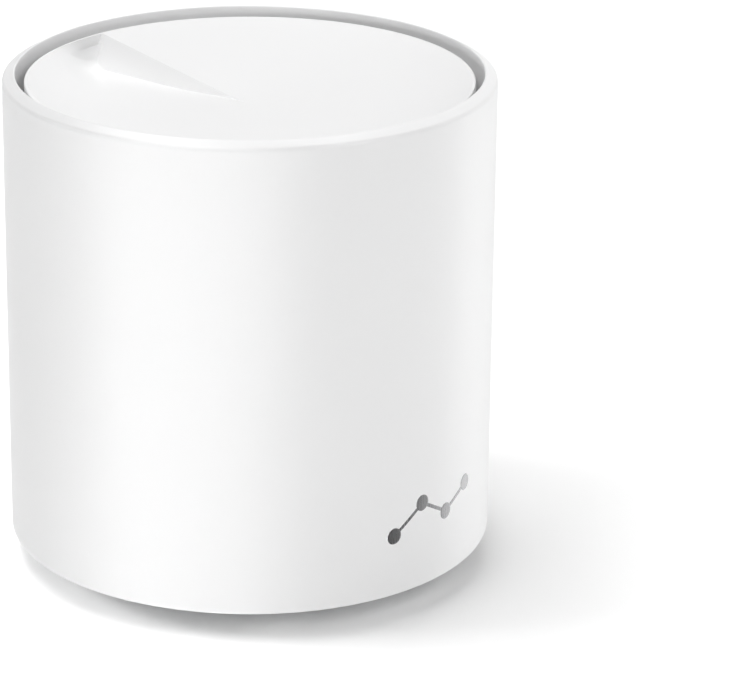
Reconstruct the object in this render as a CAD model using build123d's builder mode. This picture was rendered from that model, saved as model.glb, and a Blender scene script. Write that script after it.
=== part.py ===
"""Mesh wifi node: an upright white cylinder that stands on a hidden pedestal.

An open outer sleeve with a bevelled rim slides over an inner chassis.  A dished
top cover with one sharp fold sits inside the rim, and warm air leaves through
the narrow ring of space around it.  A base cover, set back under the sleeve,
carries a rubber foot ring, a reset button, a light pipe and the air inlets.  The
rear of the sleeve has a window with a recessed panel for two network sockets and
a power socket.  Inside, one upright circuit board stands between two finned
heatsinks, and four antenna boards hang from a ring under the cover.

Millimetres.  The origin is on the table under the middle of the cylinder, +Z is
up, -Y is the front with the emblem, and +Y is the rear with the sockets.
"""
import math
import os

from build123d import *

# ---------------------------------------------------------------- driving sizes
overall_height = 114.0
outer_radius = 55.0
sleeve_wall = 2.9
sleeve_lift = 6.4  # height of the sleeve's lower edge above the table
rim_bevel = 1.3  # how far the rim drops from its inner crest to the outside
rim_flat = 0.35  # level width of the crest
rim_round = 1.6  # softens the outer edge of the bevel
sleeve_edge = 0.6  # rounds the sleeve's lower edge

cover_gap = 2.0  # open ring between the top cover and the sleeve
cover_drop = 2.0  # depth of the cover's edge below the rim
cover_wall = 2.0
cover_skirt = 13.6
cover_land = 0.8  # level edge around the dish
bowl_depth = 6.7
scoop_depth = 8.6  # depth on the low side of the fold
scoop_lip = 7.5  # width of the curve from the scoop's floor up to the edge
lip_power = 2.4
fold_angle = 86.0  # direction of the fold, from +X towards +Y
fold_lean = 3.0  # angle that the fold's wall covers
fold_wall_angle = 4.0  # keeps the wall thick behind the fold
dish_eye = 0.5  # small level spot where the fold runs out
cover_hook_width = 6.0
cover_hook_thick = 1.5
skirt_vents = 36

window_corner = 5.0
window_middle = 26.0  # height of the sockets' centreline
recess_depth = 15.0  # from the sleeve's outside to the socket panel
panel_wall = 1.6
panel_flange = 2.0
panel_draft = 2.0  # degrees that the recess narrows inwards
socket_gap = 2.8  # between sockets in the row
socket_side_margin = 1.9  # from the row's ends to the recess's sides
socket_top_margin = 3.6

jack_depth = 16.3
jack_width = 15.9
jack_height = 13.2
power_jack_width = 9.0
power_jack_height = 11.0
power_bore = 3.15
power_pin = 1.05

board_thick = 1.6
chassis_floor_thick = 2.0
carrier_thick = 2.0
rail_width = 5.5
rail_depth = 6.6

base_floor_low = 1.6
base_wall = 2.0
pedestal_inset = 14.0  # from the sleeve's outside to the pedestal's wall
foot_inset = 1.5  # from the pedestal's wall to the foot ring
foot_width = 5.5
foot_height = 2.3
reset_radius = 2.2
reset_inset = 4.5  # from the foot ring's inner edge to the button's middle
reset_travel = 0.8

boss_radius = 3.4
screw_radius = 1.45
screw_head_radius = 2.6
screw_head_height = 1.8

# ---------------------------------------------------------------- clearances
slip = 0.15  # parts that drop into each other
running = 0.3  # parts that move past each other
air = 0.5  # parts that only pass near each other

# ---------------------------------------------------------------- worked-out places
socket_row = 2 * jack_width + power_jack_width + 2 * socket_gap
window_width = socket_row + 2 * (socket_side_margin + panel_wall + slip)
window_height = jack_height + 2 * (socket_top_margin + panel_wall + slip)
network_jack_places = (
    (jack_width - socket_row) / 2,
    (jack_width - socket_row) / 2 + jack_width + socket_gap,
)
power_jack_place = (socket_row - power_jack_width) / 2

sleeve_bore = outer_radius - sleeve_wall
cover_radius = sleeve_bore - cover_gap
cover_top = overall_height - cover_drop
cover_foot = cover_top - cover_skirt
dish_radius = cover_radius - cover_land
carrier_low = cover_foot - carrier_thick

base_floor_top = base_floor_low + base_wall
flange_low = sleeve_lift + 0.2
flange_top = flange_low + base_wall
chassis_low = flange_top + 0.4
chassis_top = chassis_low + chassis_floor_thick
chassis_radius = sleeve_bore - 7.1
board_foot = chassis_top + 1.0  # height of the circuit board's lower edge
pedestal_radius = outer_radius - pedestal_inset
foot_outer = pedestal_radius - foot_inset
foot_inner = foot_outer - foot_width

panel_face = outer_radius - recess_depth
jack_face = panel_face + 0.3
board_rear = jack_face - jack_depth
board_front = board_rear - board_thick
board_middle = (board_front + board_rear) / 2
board_head = carrier_low - 2.0
rail_outer = math.sqrt((sleeve_bore - 1.6) ** 2 - (board_middle + rail_depth / 2) ** 2)
rail_inner = rail_outer - rail_width
board_half = rail_inner + 1.5

boss_circle = sleeve_bore - boss_radius + 0.5
boss_clear_x = window_width / 2 + panel_flange + boss_radius + 1.0
boss_angle = math.degrees(math.acos(boss_clear_x / boss_circle))
boss_angles = (boss_angle, 180 - boss_angle, 180 + boss_angle, -boss_angle)
ring_screw_radius = 1.0
ring_screw_head = 1.9
ring_screw_length = 6.0  # how far it enters the rail
ring_screw_reach = cover_radius - cover_wall - ring_screw_head - running
ring_screw_y = board_middle - 1.2
ring_screw_x = math.sqrt(ring_screw_reach**2 - ring_screw_y**2)
ring_screw_spots = [(side * ring_screw_x, ring_screw_y) for side in (-1, 1)]
base_screw_circle = foot_inner - boss_radius - 0.6
base_screw_angles = (90.0, 210.0, 330.0)
reset_depth = board_front - 1.75
reset_place = -math.sqrt((foot_inner - reset_inset) ** 2 - reset_depth**2)
reset_spot = (reset_place, reset_depth)

# ---------------------------------------------------------------- helpers
os.makedirs("parts", exist_ok=True)


def save(piece, name):
    """Labels a finished piece and writes it to its own file."""
    piece.label = name
    export_step(piece, f"parts/{name}.step")


def ease(share):
    """Smooth rise from 0 to 1 as the share goes from 0 to 1."""
    share = min(max(share, 0.0), 1.0)
    return share * share * (3 - 2 * share)


def at_angle(radius, angle):
    """The X and Y of a point at a radius and an angle in degrees."""
    return radius * math.cos(math.radians(angle)), radius * math.sin(math.radians(angle))


def level(height):
    """A level sketch plane at a height."""
    return Plane.XY.offset(height)


def upright(depth):
    """An upright sketch plane at Y = depth, facing the front: X across, Z up."""
    return Plane.XZ.offset(-depth)


def radial_plane(angle):
    """The upright half plane through the axis: local X runs outwards, local Y is up."""
    x, y = at_angle(1.0, angle)
    return Plane(origin=(0, 0, 0), x_dir=(x, y, 0), z_dir=(y, -x, 0))


# ---------------------------------------------------------------- front emblem
emblem_middle = 23.6
emblem_span = 12.2
emblem_rise = 2.9
emblem_depth = 0.2
emblem_node = 1.9
emblem_line = 0.85
emblem_nodes = (
    (-emblem_span, -emblem_rise),
    (-emblem_span / 3, emblem_rise),
    (emblem_span / 3, -emblem_rise * 0.55),
    (emblem_span, emblem_rise * 0.85),
)


def emblem_face(margin):
    """A plain zigzag of four linked dots, seen from the front, grown by a margin."""
    with BuildSketch(upright(-outer_radius + 4)) as face:
        with Locations((0, emblem_middle)):
            with Locations(*emblem_nodes):
                Circle(emblem_node + margin)
            for start, end in zip(emblem_nodes, emblem_nodes[1:]):
                middle = ((start[0] + end[0]) / 2, (start[1] + end[1]) / 2)
                reach = (end[0] - start[0], end[1] - start[1])
                with Locations(middle):
                    SlotCenterToCenter(
                        math.hypot(*reach),
                        emblem_line + 2 * margin,
                        rotation=math.degrees(math.atan2(reach[1], reach[0])),
                    )
    return face.sketch


with BuildPart() as front_emblem:
    extrude(emblem_face(0), amount=8)
    with BuildSketch(level(sleeve_lift)):
        Circle(outer_radius)
        Circle(outer_radius - emblem_depth, mode=Mode.SUBTRACT)
    extrude(amount=overall_height / 2, mode=Mode.INTERSECT)

with BuildPart() as emblem_pocket:
    extrude(emblem_face(0.02), amount=8)
    with BuildSketch(level(sleeve_lift)):
        Circle(outer_radius + 1)
        Circle(outer_radius - emblem_depth, mode=Mode.SUBTRACT)
    extrude(amount=overall_height / 2, mode=Mode.INTERSECT)

save(front_emblem.part, "front_emblem")

# ---------------------------------------------------------------- outer sleeve
with BuildPart() as outer_sleeve:
    with BuildSketch(Plane.XZ) as sleeve_section:
        with BuildLine():
            Polyline(
                (sleeve_bore, sleeve_lift),
                (outer_radius, sleeve_lift),
                (outer_radius, overall_height - rim_bevel),
                (sleeve_bore + rim_flat, overall_height),
                (sleeve_bore, overall_height),
                close=True,
            )
        make_face()
        outer_corners = sleeve_section.vertices().group_by(Axis.X)[-1].sort_by(Axis.Y)
        fillet(outer_corners[-1], rim_round)
        fillet(outer_corners[0], sleeve_edge)
    revolve(axis=Axis.Z)
    # screw bosses that grow out of the bore just above the base flange
    with BuildSketch(level(flange_top + 0.1)):
        with Locations(*[at_angle(boss_circle, angle) for angle in boss_angles]):
            Circle(boss_radius)
        Circle(sleeve_bore + 0.5, mode=Mode.INTERSECT)
    extrude(amount=12.0)
    with BuildSketch(level(flange_top + 0.1)):
        with Locations(*[at_angle(boss_circle, angle) for angle in boss_angles]):
            Circle(screw_radius + 0.05)
    extrude(amount=10.0, mode=Mode.SUBTRACT)
    # rear window for the sockets
    with BuildSketch(upright(outer_radius + 1)):
        with Locations((0, window_middle)):
            RectangleRounded(window_width, window_height, window_corner)
    extrude(amount=recess_depth + 5, mode=Mode.SUBTRACT)
    add(emblem_pocket.part, mode=Mode.SUBTRACT)

save(outer_sleeve.part, "outer_sleeve")

# ---------------------------------------------------------------- top cover


def dish_depth(radius, turn):
    """How far the dish lies below the cover's edge.

    turn runs from 0 on the low side of the fold, once round the axis, to 1 on its
    high side.  The high side is a straight cone down to the eye.  The low side is
    a level floor that curves up to the edge.  Between them the two are mixed.
    """
    share = radius / dish_radius
    high = bowl_depth * (1 - share)
    if share >= 1:
        return high
    floor = bowl_depth + (scoop_depth - bowl_depth) * ease(share / 0.45)
    lip = max(0.0, (radius - dish_radius + scoop_lip) / scoop_lip)
    low = floor * (1 - lip**lip_power)
    return low + (high - low) * ease(turn)


section_shares = (0.12, 0.25, 0.4, 0.55, 0.7, 0.8, 0.86, 0.91, 0.955, 1.0, 1.06)


def dish_section(angle, turn, sink):
    """The open space above the dish in one upright half plane, sunk by an amount."""
    radii = [dish_eye, *[dish_radius * share for share in section_shares]]
    points = [(r, cover_top - dish_depth(r, turn) - sink) for r in radii]
    roof = overall_height + 20
    with BuildSketch(radial_plane(angle)) as section:
        with BuildLine():
            Spline(*points)
            Polyline(points[-1], (points[-1][0], roof), (points[0][0], roof), points[0])
        make_face()
    return section.sketch


def space_over_dish(sink, twist):
    """The space above the whole dish: two half-turn lofts, and one at the fold."""
    low_side = fold_angle + fold_lean + twist
    with BuildPart() as space:
        for first in (0, 6):
            turns = [(first + step) / 12 for step in range(7)]
            loft([dish_section(low_side + (360 - fold_lean) * t, t, sink) for t in turns])
        fold = [dish_section(low_side - fold_lean, 1, sink), dish_section(low_side, 0, sink)]
        loft(fold, ruled=True)
        with BuildSketch(level(cover_top - bowl_depth - sink)):
            Circle(dish_eye * 1.4)
        extrude(amount=bowl_depth + 25)
    return space.part


hook_angles = (boss_angle + 45, 135 + boss_angle, 225 + boss_angle, 315 + boss_angle)
vent_low = cover_foot + 1.6
vent_height = 4.6
vent_width = 3.2

dish_space = space_over_dish(0, 0)
sunk_dish_space = space_over_dish(cover_wall, -fold_wall_angle)

with BuildPart() as under_dish:
    with BuildSketch(level(cover_foot)):
        Circle(cover_radius - cover_wall)
    extrude(amount=cover_skirt)
    add(sunk_dish_space, mode=Mode.SUBTRACT)

with BuildPart() as top_cover:
    with BuildSketch(level(cover_foot)):
        Circle(cover_radius)
    extrude(amount=cover_skirt)
    fillet(top_cover.faces().sort_by(Axis.Z)[-1].edges(), cover_land * 0.4)
    add(under_dish.part, mode=Mode.SUBTRACT)
    add(dish_space, mode=Mode.SUBTRACT)
    # vents through the skirt into the ring of space around the cover
    for index in range(skirt_vents):
        x, y = at_angle(cover_radius - cover_wall / 2, (index + 0.5) * 360 / skirt_vents)
        with Locations(Location((x, y, vent_low), (0, 0, (index + 0.5) * 360 / skirt_vents))):
            Box(
                cover_wall * 1.3,
                vent_width,
                vent_height,
                align=(Align.CENTER, Align.CENTER, Align.MIN),
                mode=Mode.SUBTRACT,
            )
    # hooks that pass through the ring below and catch under it
    hook_radius = cover_radius - cover_hook_thick / 2
    for angle in hook_angles:
        x, y = at_angle(hook_radius, angle)
        with Locations(Location((x, y, cover_foot + 0.5), (0, 0, angle))):
            Box(
                cover_hook_thick,
                cover_hook_width,
                carrier_thick + 3.0,
                align=(Align.CENTER, Align.CENTER, Align.MAX),
            )
        x, y = at_angle(hook_radius - cover_hook_thick / 2 - 0.3, angle)
        with Locations(Location((x, y, carrier_low - slip), (0, 0, angle))):
            Box(
                cover_hook_thick,
                cover_hook_width,
                2.0,
                align=(Align.CENTER, Align.CENTER, Align.MAX),
            )

save(top_cover.part, "top_cover")

# ---------------------------------------------------------------- base cover
flange_radius = sleeve_bore - 0.4
flange_slot_low = pedestal_radius + 1.8
flange_slot_high = flange_radius - 3.4
flange_slots = 40
light_pipe_width = 10.0
light_pipe_depth = 3.0
light_pipe_place = (pedestal_radius + flange_radius) / 2
label_width = 2 * (base_screw_circle - 13.0)
label_height = 18.0
label_middle = -14.0
label_thick = 0.15
floor_vents = 4
floor_vent_pitch = 4.4
floor_vent_length = 26.0
base_screw_spots = [at_angle(base_screw_circle, angle) for angle in base_screw_angles]
sleeve_screw_spots = [at_angle(boss_circle, angle) for angle in boss_angles]
counterbore = screw_head_height + 0.8
base_boss_top = base_floor_low + counterbore + 1.4


def slot_is_free(angle):
    """True where a flange slot would miss the sleeve screws and the light pipe."""
    kept = [*boss_angles, -90.0]
    return all(abs((angle - other + 180) % 360 - 180) > 9 for other in kept)


with BuildPart() as base_cover:
    with BuildSketch(level(base_floor_low)):
        Circle(pedestal_radius)
    extrude(amount=base_wall)
    with BuildSketch(level(base_floor_low)):
        Circle(pedestal_radius)
        Circle(pedestal_radius - base_wall, mode=Mode.SUBTRACT)
    extrude(amount=flange_top - base_floor_low)
    with BuildSketch(level(flange_low)):
        Circle(flange_radius)
        Circle(pedestal_radius - base_wall, mode=Mode.SUBTRACT)
    extrude(amount=base_wall)
    with BuildSketch(level(base_floor_low)):
        with Locations(*base_screw_spots):
            Circle(boss_radius + 0.4)
    extrude(amount=base_boss_top - base_floor_low)
    with BuildSketch(level(base_floor_low)):
        with Locations(reset_spot):
            Circle(reset_radius + 2.2)
    extrude(amount=base_wall + 1.2)
    # screw seats
    with Locations(*[(x, y, base_floor_low) for x, y in base_screw_spots]):
        Cylinder(
            screw_head_radius + 0.4,
            counterbore,
            align=(Align.CENTER, Align.CENTER, Align.MIN),
            mode=Mode.SUBTRACT,
        )
        Cylinder(screw_radius + 0.25, 20, mode=Mode.SUBTRACT)
    with Locations(*[(x, y, flange_low) for x, y in sleeve_screw_spots]):
        Cylinder(screw_radius + 0.25, 10, mode=Mode.SUBTRACT)
    # groove for the foot ring
    with BuildSketch(level(base_floor_low)):
        Circle(foot_outer + 0.05)
        Circle(foot_inner - 0.05, mode=Mode.SUBTRACT)
    extrude(amount=foot_height - base_floor_low, mode=Mode.SUBTRACT)
    # reset button well: a wide seat inside and a round mouth outside
    with Locations((*reset_spot, base_floor_low)):
        Cylinder(reset_radius + running, 20, mode=Mode.SUBTRACT)
    with Locations((*reset_spot, base_floor_top - 0.6)):
        Cylinder(
            reset_radius + 0.9 + running,
            20,
            align=(Align.CENTER, Align.CENTER, Align.MIN),
            mode=Mode.SUBTRACT,
        )
    # air inlets through the floor and the flange
    with BuildSketch(level(base_floor_low)):
        with Locations((0, floor_vent_pitch * 1.9)):
            with GridLocations(0, floor_vent_pitch, 1, floor_vents):
                SlotOverall(floor_vent_length, 2.0)
        for index in range(flange_slots):
            angle = index * 360 / flange_slots
            if slot_is_free(angle):
                with Locations(
                    Location((*at_angle((flange_slot_low + flange_slot_high) / 2, angle), 0), (0, 0, angle))
                ):
                    SlotOverall(flange_slot_high - flange_slot_low, 1.8)
        with Locations((0, -light_pipe_place)):
            Rectangle(light_pipe_width + 2 * slip, light_pipe_depth + 2 * slip)
    extrude(amount=flange_top, mode=Mode.SUBTRACT)
    # shallow seat for the label
    with BuildSketch(level(base_floor_low)):
        with Locations((0, label_middle)):
            RectangleRounded(label_width + 0.4, label_height + 0.4, 2.0)
    extrude(amount=0.2, mode=Mode.SUBTRACT)

save(base_cover.part, "base_cover")

with BuildPart() as foot_ring:
    with BuildSketch(level(0)):
        Circle(foot_outer)
        Circle(foot_inner, mode=Mode.SUBTRACT)
    extrude(amount=foot_height)
    fillet(foot_ring.edges().group_by(Axis.Z)[0], 0.5)

save(foot_ring.part, "foot_ring")

with BuildPart() as rating_label:
    with BuildSketch(level(base_floor_low + 0.2 - label_thick)):
        with Locations((0, label_middle)):
            RectangleRounded(label_width, label_height, 1.8)
    extrude(amount=label_thick)

save(rating_label.part, "rating_label")

with BuildPart() as light_pipe:
    with BuildSketch(level(flange_low - 0.4)):
        with Locations((0, -light_pipe_place)):
            Rectangle(light_pipe_width, light_pipe_depth)
    extrude(amount=base_wall + 0.4)
    with BuildSketch(level(flange_top + 0.02)):
        with Locations((0, -light_pipe_place)):
            Rectangle(light_pipe_width + 2, light_pipe_depth + 1.2)
    extrude(amount=0.3)
    with BuildSketch(level(flange_top)):
        with Locations((0, -light_pipe_place)):
            Rectangle(light_pipe_width * 0.5, light_pipe_depth * 0.8)
    extrude(amount=1.2)

save(light_pipe.part, "light_pipe")

# ---------------------------------------------------------------- reset button
plunger_low = board_foot - 1.4
with BuildPart() as reset_button:
    with Locations((*reset_spot, base_floor_low - 0.3)):
        Cylinder(
            reset_radius,
            base_wall - 0.1,
            align=(Align.CENTER, Align.CENTER, Align.MIN),
        )
    fillet(reset_button.edges().group_by(Axis.Z)[0], 0.4)
    with Locations((*reset_spot, base_floor_top - 0.55)):
        Cylinder(
            reset_radius + 0.9,
            0.8,
            align=(Align.CENTER, Align.CENTER, Align.MIN),
        )
    with Locations((*reset_spot, base_floor_top)):
        Cylinder(
            1.1,
            plunger_low - base_floor_top,
            align=(Align.CENTER, Align.CENTER, Align.MIN),
        )

save(reset_button.part, "reset_button")

# ---------------------------------------------------------------- chassis
chassis_opening = base_screw_circle - 7.0
led_tab_reach = light_pipe_place + 3.5
led_tab_width = 22.0


def rail_outline(side):
    """Outline of one upright rail on the given side, inside the sleeve's bore."""
    with BuildSketch(level(chassis_low)) as outline:
        with Locations((side * (rail_inner + rail_outer) / 2, board_middle)):
            Rectangle(rail_width, rail_depth)
    return outline.sketch


with BuildPart() as chassis:
    with BuildSketch(level(chassis_low)):
        Circle(chassis_radius)
        with Locations((0, -led_tab_reach / 2)):
            Rectangle(led_tab_width, led_tab_reach)
        Circle(chassis_opening, mode=Mode.SUBTRACT)
        for angle in (0, 60, 120):
            Rectangle(2 * chassis_opening + 2, 3.0, rotation=angle)
        with Locations(*sleeve_screw_spots):
            Circle(boss_radius + air, mode=Mode.SUBTRACT)
    extrude(amount=chassis_floor_thick)
    for side in (-1, 1):
        add(rail_outline(side))
        extrude(amount=carrier_low - chassis_low)
    # ribs that the circuit board stands on
    with BuildSketch(level(chassis_top)):
        with GridLocations(2 * (board_half - 8.5), 0, 2, 1):
            with Locations((0, board_middle)):
                Rectangle(5.0, rail_depth)
    extrude(amount=board_foot - chassis_top)
    # slots that the board's edges slide into
    with BuildSketch(level(board_foot)):
        with Locations((0, board_middle)):
            Rectangle(2 * board_half + 2 * slip, board_thick + 2 * slip)
    extrude(amount=carrier_low - board_foot, mode=Mode.SUBTRACT)
    # bosses over the base screws
    with BuildSketch(level(base_boss_top + 0.05)):
        with Locations(*base_screw_spots):
            Circle(boss_radius)
    extrude(amount=chassis_top + 2.5 - base_boss_top)
    with BuildSketch(level(base_boss_top)):
        with Locations(*base_screw_spots):
            Circle(screw_radius + 0.05)
    extrude(amount=chassis_top - base_boss_top + 1.5, mode=Mode.SUBTRACT)
    # guide for the reset button's stem, and the hole under the status light
    with BuildSketch(level(chassis_low)):
        with Locations(reset_spot):
            Circle(1.1 + running)
        with Locations((0, -light_pipe_place)):
            Rectangle(light_pipe_width * 0.5 + 2 * air, light_pipe_depth)
    extrude(amount=20, mode=Mode.SUBTRACT)
    # tapped holes in the rails' heads for the antenna ring
    with Locations(*[(x, y, carrier_low) for x, y in ring_screw_spots]):
        Cylinder(
            ring_screw_radius + 0.05,
            ring_screw_length + 0.5,
            align=(Align.CENTER, Align.CENTER, Align.MAX),
            mode=Mode.SUBTRACT,
        )

save(chassis.part, "chassis")

# ---------------------------------------------------------------- antenna ring
carrier_radius = sleeve_bore - 0.3
carrier_bore = rail_outer - rail_width + 0.5
antenna_angles = (-20.0, -65.0, -115.0, -160.0)
antenna_circle = sleeve_bore - 6.4  # inner face of the antenna boards
antenna_width = 15.0
antenna_height = 34.0
antenna_thick = 0.8
antenna_head = carrier_low - 1.6
hanger_width = antenna_width + 2.4
hanger_thick = 1.5

with BuildPart() as antenna_ring:
    with BuildSketch(level(carrier_low)):
        Circle(carrier_radius)
        Circle(carrier_bore - 2.5, mode=Mode.SUBTRACT)
    extrude(amount=carrier_thick - 0.05)
    for angle in antenna_angles:
        x, y = at_angle(antenna_circle + antenna_thick + 0.02, angle)
        with Locations(Location((x, y, carrier_low + 0.5), (0, 0, angle))):
            Box(
                hanger_thick,
                hanger_width,
                antenna_height + 4.0,
                align=(Align.MIN, Align.CENTER, Align.MAX),
            )
    for angle in hook_angles:
        x, y = at_angle(cover_radius - cover_hook_thick, angle)
        with Locations(Location((x, y, carrier_low), (0, 0, angle))):
            Box(
                cover_hook_thick * 2 + 1.2,
                cover_hook_width + 2 * running,
                10,
                mode=Mode.SUBTRACT,
            )
    with Locations(*[(x, y, carrier_low) for x, y in ring_screw_spots]):
        Cylinder(ring_screw_radius + running, 10, mode=Mode.SUBTRACT)

save(antenna_ring.part, "antenna_ring")

antenna_names = ("antenna_right", "antenna_front_right", "antenna_front_left", "antenna_left")
for name, angle in zip(antenna_names, antenna_angles):
    x, y = at_angle(antenna_circle, angle)
    with BuildPart() as antenna_board:
        with Locations(Location((x, y, antenna_head), (0, 0, angle))):
            Box(
                antenna_thick,
                antenna_width,
                antenna_height,
                align=(Align.MIN, Align.CENTER, Align.MAX),
            )
        chamfer(antenna_board.edges().filter_by(lambda e: abs(e.length - antenna_thick) < 0.01), 1.0)
    save(antenna_board.part, name)

# ---------------------------------------------------------------- circuit board
heatsink_foot = board_foot + 12.0
heatsink_head = board_head - 8.0
sink_screw_x = 27.0
sink_screw_low = window_middle + window_height / 2 + 10.0
sink_screw_high = heatsink_head - 6.0
sink_screw_spots = [
    (side * sink_screw_x, height) for side in (-1, 1) for height in (sink_screw_low, sink_screw_high)
]

with BuildPart() as main_board:
    with BuildSketch(upright(board_rear)):
        with Locations((0, (board_foot + board_head) / 2)):
            Rectangle(2 * board_half, board_head - board_foot)
        with Locations(*sink_screw_spots):
            Circle(1.8, mode=Mode.SUBTRACT)
    extrude(amount=board_thick)

save(main_board.part, "main_board")

chip_line = (sink_screw_low + sink_screw_high) / 2
switch_line = heatsink_foot + 11.0
# name: (face, X, Z, width, height, thickness); face -1 is the front, +1 the rear
chips = {
    "processor_chip": (-1, 0.0, chip_line, 17.0, 17.0, 1.2),
    "memory_chip": (-1, 17.0, chip_line, 9.0, 13.0, 1.2),
    "flash_chip": (-1, -16.5, chip_line, 8.0, 10.0, 1.0),
    "switch_chip": (-1, 0.0, switch_line, 12.0, 12.0, 0.9),
    "radio_chip_fast": (1, -12.0, chip_line, 11.0, 11.0, 0.9),
    "radio_chip_slow": (1, 12.0, chip_line, 9.0, 9.0, 0.9),
}
for name, (side, x, z, width, height, thick) in chips.items():
    with BuildPart() as chip:
        with BuildSketch(upright(board_rear if side > 0 else board_front)):
            with Locations((x, z)):
                Rectangle(width, height)
        extrude(amount=-side * thick)
        chamfer(chip.edges().filter_by(Axis.Y), 0.3)
    save(chip.part, name)

# ---------------------------------------------------------------- shields and pads
can_sheet = 0.25
can_height = 2.1


def shield_can(face, side, x, z, width, height):
    """A drawn metal can over part of the board, open towards the board."""
    with BuildPart() as can:
        with BuildSketch(upright(face)):
            with Locations((x, z)):
                RectangleRounded(width, height, 1.0)
        extrude(amount=-side * can_height)
        with BuildSketch(upright(face)):
            with Locations((x, z)):
                RectangleRounded(width - 2 * can_sheet, height - 2 * can_sheet, 0.75)
        extrude(amount=-side * (can_height - can_sheet), mode=Mode.SUBTRACT)
    return can.part


save(shield_can(board_front, -1, 0.0, chip_line, 46.0, 20.0), "processor_shield")
save(shield_can(board_rear, 1, 0.0, chip_line, 42.0, 18.0), "radio_shield")

pad_thick = 1.0


def pad(face, side, x, z, width, height, thick):
    """A soft flat heat-transfer pad."""
    with BuildPart() as sheet:
        with BuildSketch(upright(face)):
            with Locations((x, z)):
                Rectangle(width, height)
        extrude(amount=-side * thick)
    return sheet.part


front_can_face = board_front - can_height
rear_can_face = board_rear + can_height
switch_face = board_front - chips["switch_chip"][5]
front_sink_face = front_can_face - pad_thick
rear_sink_face = rear_can_face + pad_thick
save(pad(front_can_face, -1, 0.0, chip_line, 40.0, 17.0, pad_thick), "processor_pad")
save(pad(rear_can_face, 1, 0.0, chip_line, 36.0, 15.0, pad_thick), "radio_pad")
switch_gap = switch_face - front_sink_face
save(pad(switch_face, -1, 0.0, switch_line, 11.0, 11.0, switch_gap), "switch_pad")

# ---------------------------------------------------------------- heatsinks
sink_plate = 3.0
front_sink_half = board_half - 4.0
front_fins = 9
front_fin_reach = 24.0
fin_thick = 1.6
rear_sink_half = 30.0
rear_fins = 7
rear_fin_reach = 7.0
rear_sink_foot = window_middle + window_height / 2 + 5.0
sink_boss = 3.2

with BuildPart() as front_heatsink:
    with BuildSketch(upright(front_sink_face)):
        with Locations((0, (heatsink_foot + heatsink_head) / 2)):
            Rectangle(2 * front_sink_half, heatsink_head - heatsink_foot)
    extrude(amount=sink_plate)
    with BuildSketch(upright(front_sink_face - sink_plate)):
        with Locations((0, (heatsink_foot + heatsink_head) / 2)):
            with GridLocations(2 * (front_sink_half - fin_thick / 2) / (front_fins - 1), 0, front_fins, 1):
                Rectangle(fin_thick, heatsink_head - heatsink_foot)
    extrude(amount=front_fin_reach)
    with BuildSketch(upright(board_front)):
        with Locations(*sink_screw_spots):
            Circle(sink_boss)
    extrude(amount=board_front - front_sink_face)
    with BuildSketch(upright(board_front)):
        with Locations(*sink_screw_spots):
            Circle(1.3)
    extrude(amount=board_front - front_sink_face + sink_plate - 0.8, mode=Mode.SUBTRACT)

with BuildPart() as rear_heatsink:
    with BuildSketch(upright(rear_sink_face)):
        with Locations((0, (rear_sink_foot + heatsink_head) / 2)):
            Rectangle(2 * rear_sink_half, heatsink_head - rear_sink_foot)
    extrude(amount=-sink_plate)
    with BuildSketch(upright(rear_sink_face + sink_plate)):
        with Locations((0, (rear_sink_foot + heatsink_head) / 2)):
            with GridLocations(6.4, 0, rear_fins, 1):
                Rectangle(fin_thick, heatsink_head - rear_sink_foot)
    extrude(amount=-rear_fin_reach)
    with BuildSketch(upright(board_rear)):
        with Locations(*sink_screw_spots):
            Circle(sink_boss)
    extrude(amount=-(rear_sink_face - board_rear))
    with BuildSketch(upright(board_rear)):
        with Locations(*sink_screw_spots):
            Circle(1.6)
    extrude(amount=-20, mode=Mode.SUBTRACT)

save(front_heatsink.part, "front_heatsink")
save(rear_heatsink.part, "rear_heatsink")

# ---------------------------------------------------------------- network sockets
mouth_width = 11.9
mouth_height = 7.9
mouth_depth = 13.0
latch_width = 6.3
latch_depth = 1.7
key_width = 3.3
contact_pitch = 1.02
contact_size = 0.3
contact_lift = 0.75
contact_drop = 3.9


def network_jack(place):
    """The moulded body of one socket, with a keyed mouth that faces the rear."""
    with BuildPart() as body:
        with BuildSketch(upright(board_rear)):
            with Locations((place, window_middle)):
                Rectangle(jack_width, jack_height)
        extrude(amount=-jack_depth)
        with BuildSketch(upright(jack_face)):
            with Locations((place, window_middle)):
                Rectangle(mouth_width, mouth_height)
                with Locations((0, -mouth_height / 2)):
                    Rectangle(latch_width, 2 * latch_depth)
                    Rectangle(key_width, 2 * latch_depth + 2.0)
                with Locations((0, mouth_height / 2)):
                    Rectangle(contact_pitch * 8 + 0.5, 2 * (contact_lift + contact_size))
        extrude(amount=mouth_depth, mode=Mode.SUBTRACT)
        mouth_edges = body.faces().filter_by(Plane.XZ).sort_by(Axis.Y)[-1].outer_wire().edges()
        chamfer(mouth_edges, 0.3)
    return body.part


def network_contacts(place):
    """Eight spring wires that run forward under the roof of the mouth and bend back."""
    roof = window_middle + mouth_height / 2 + contact_lift
    back = jack_face - mouth_depth + 0.02
    with BuildPart() as wires:
        for index in range(8):
            middle = place + (index - 3.5) * contact_pitch
            with BuildSketch(Plane.YZ.offset(middle - contact_size / 2)):
                with BuildLine() as bend:
                    FilletPolyline(
                        (back, roof),
                        (jack_face - 2.6, roof),
                        (jack_face - 9.8, roof - contact_drop),
                        radius=0.6,
                    )
                trace(line_width=contact_size)
            extrude(amount=contact_size)
    return wires.part


for index, place in enumerate(network_jack_places, start=1):
    save(network_jack(place), f"network_jack_{index}")
    save(network_contacts(place), f"network_contacts_{index}")

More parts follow.
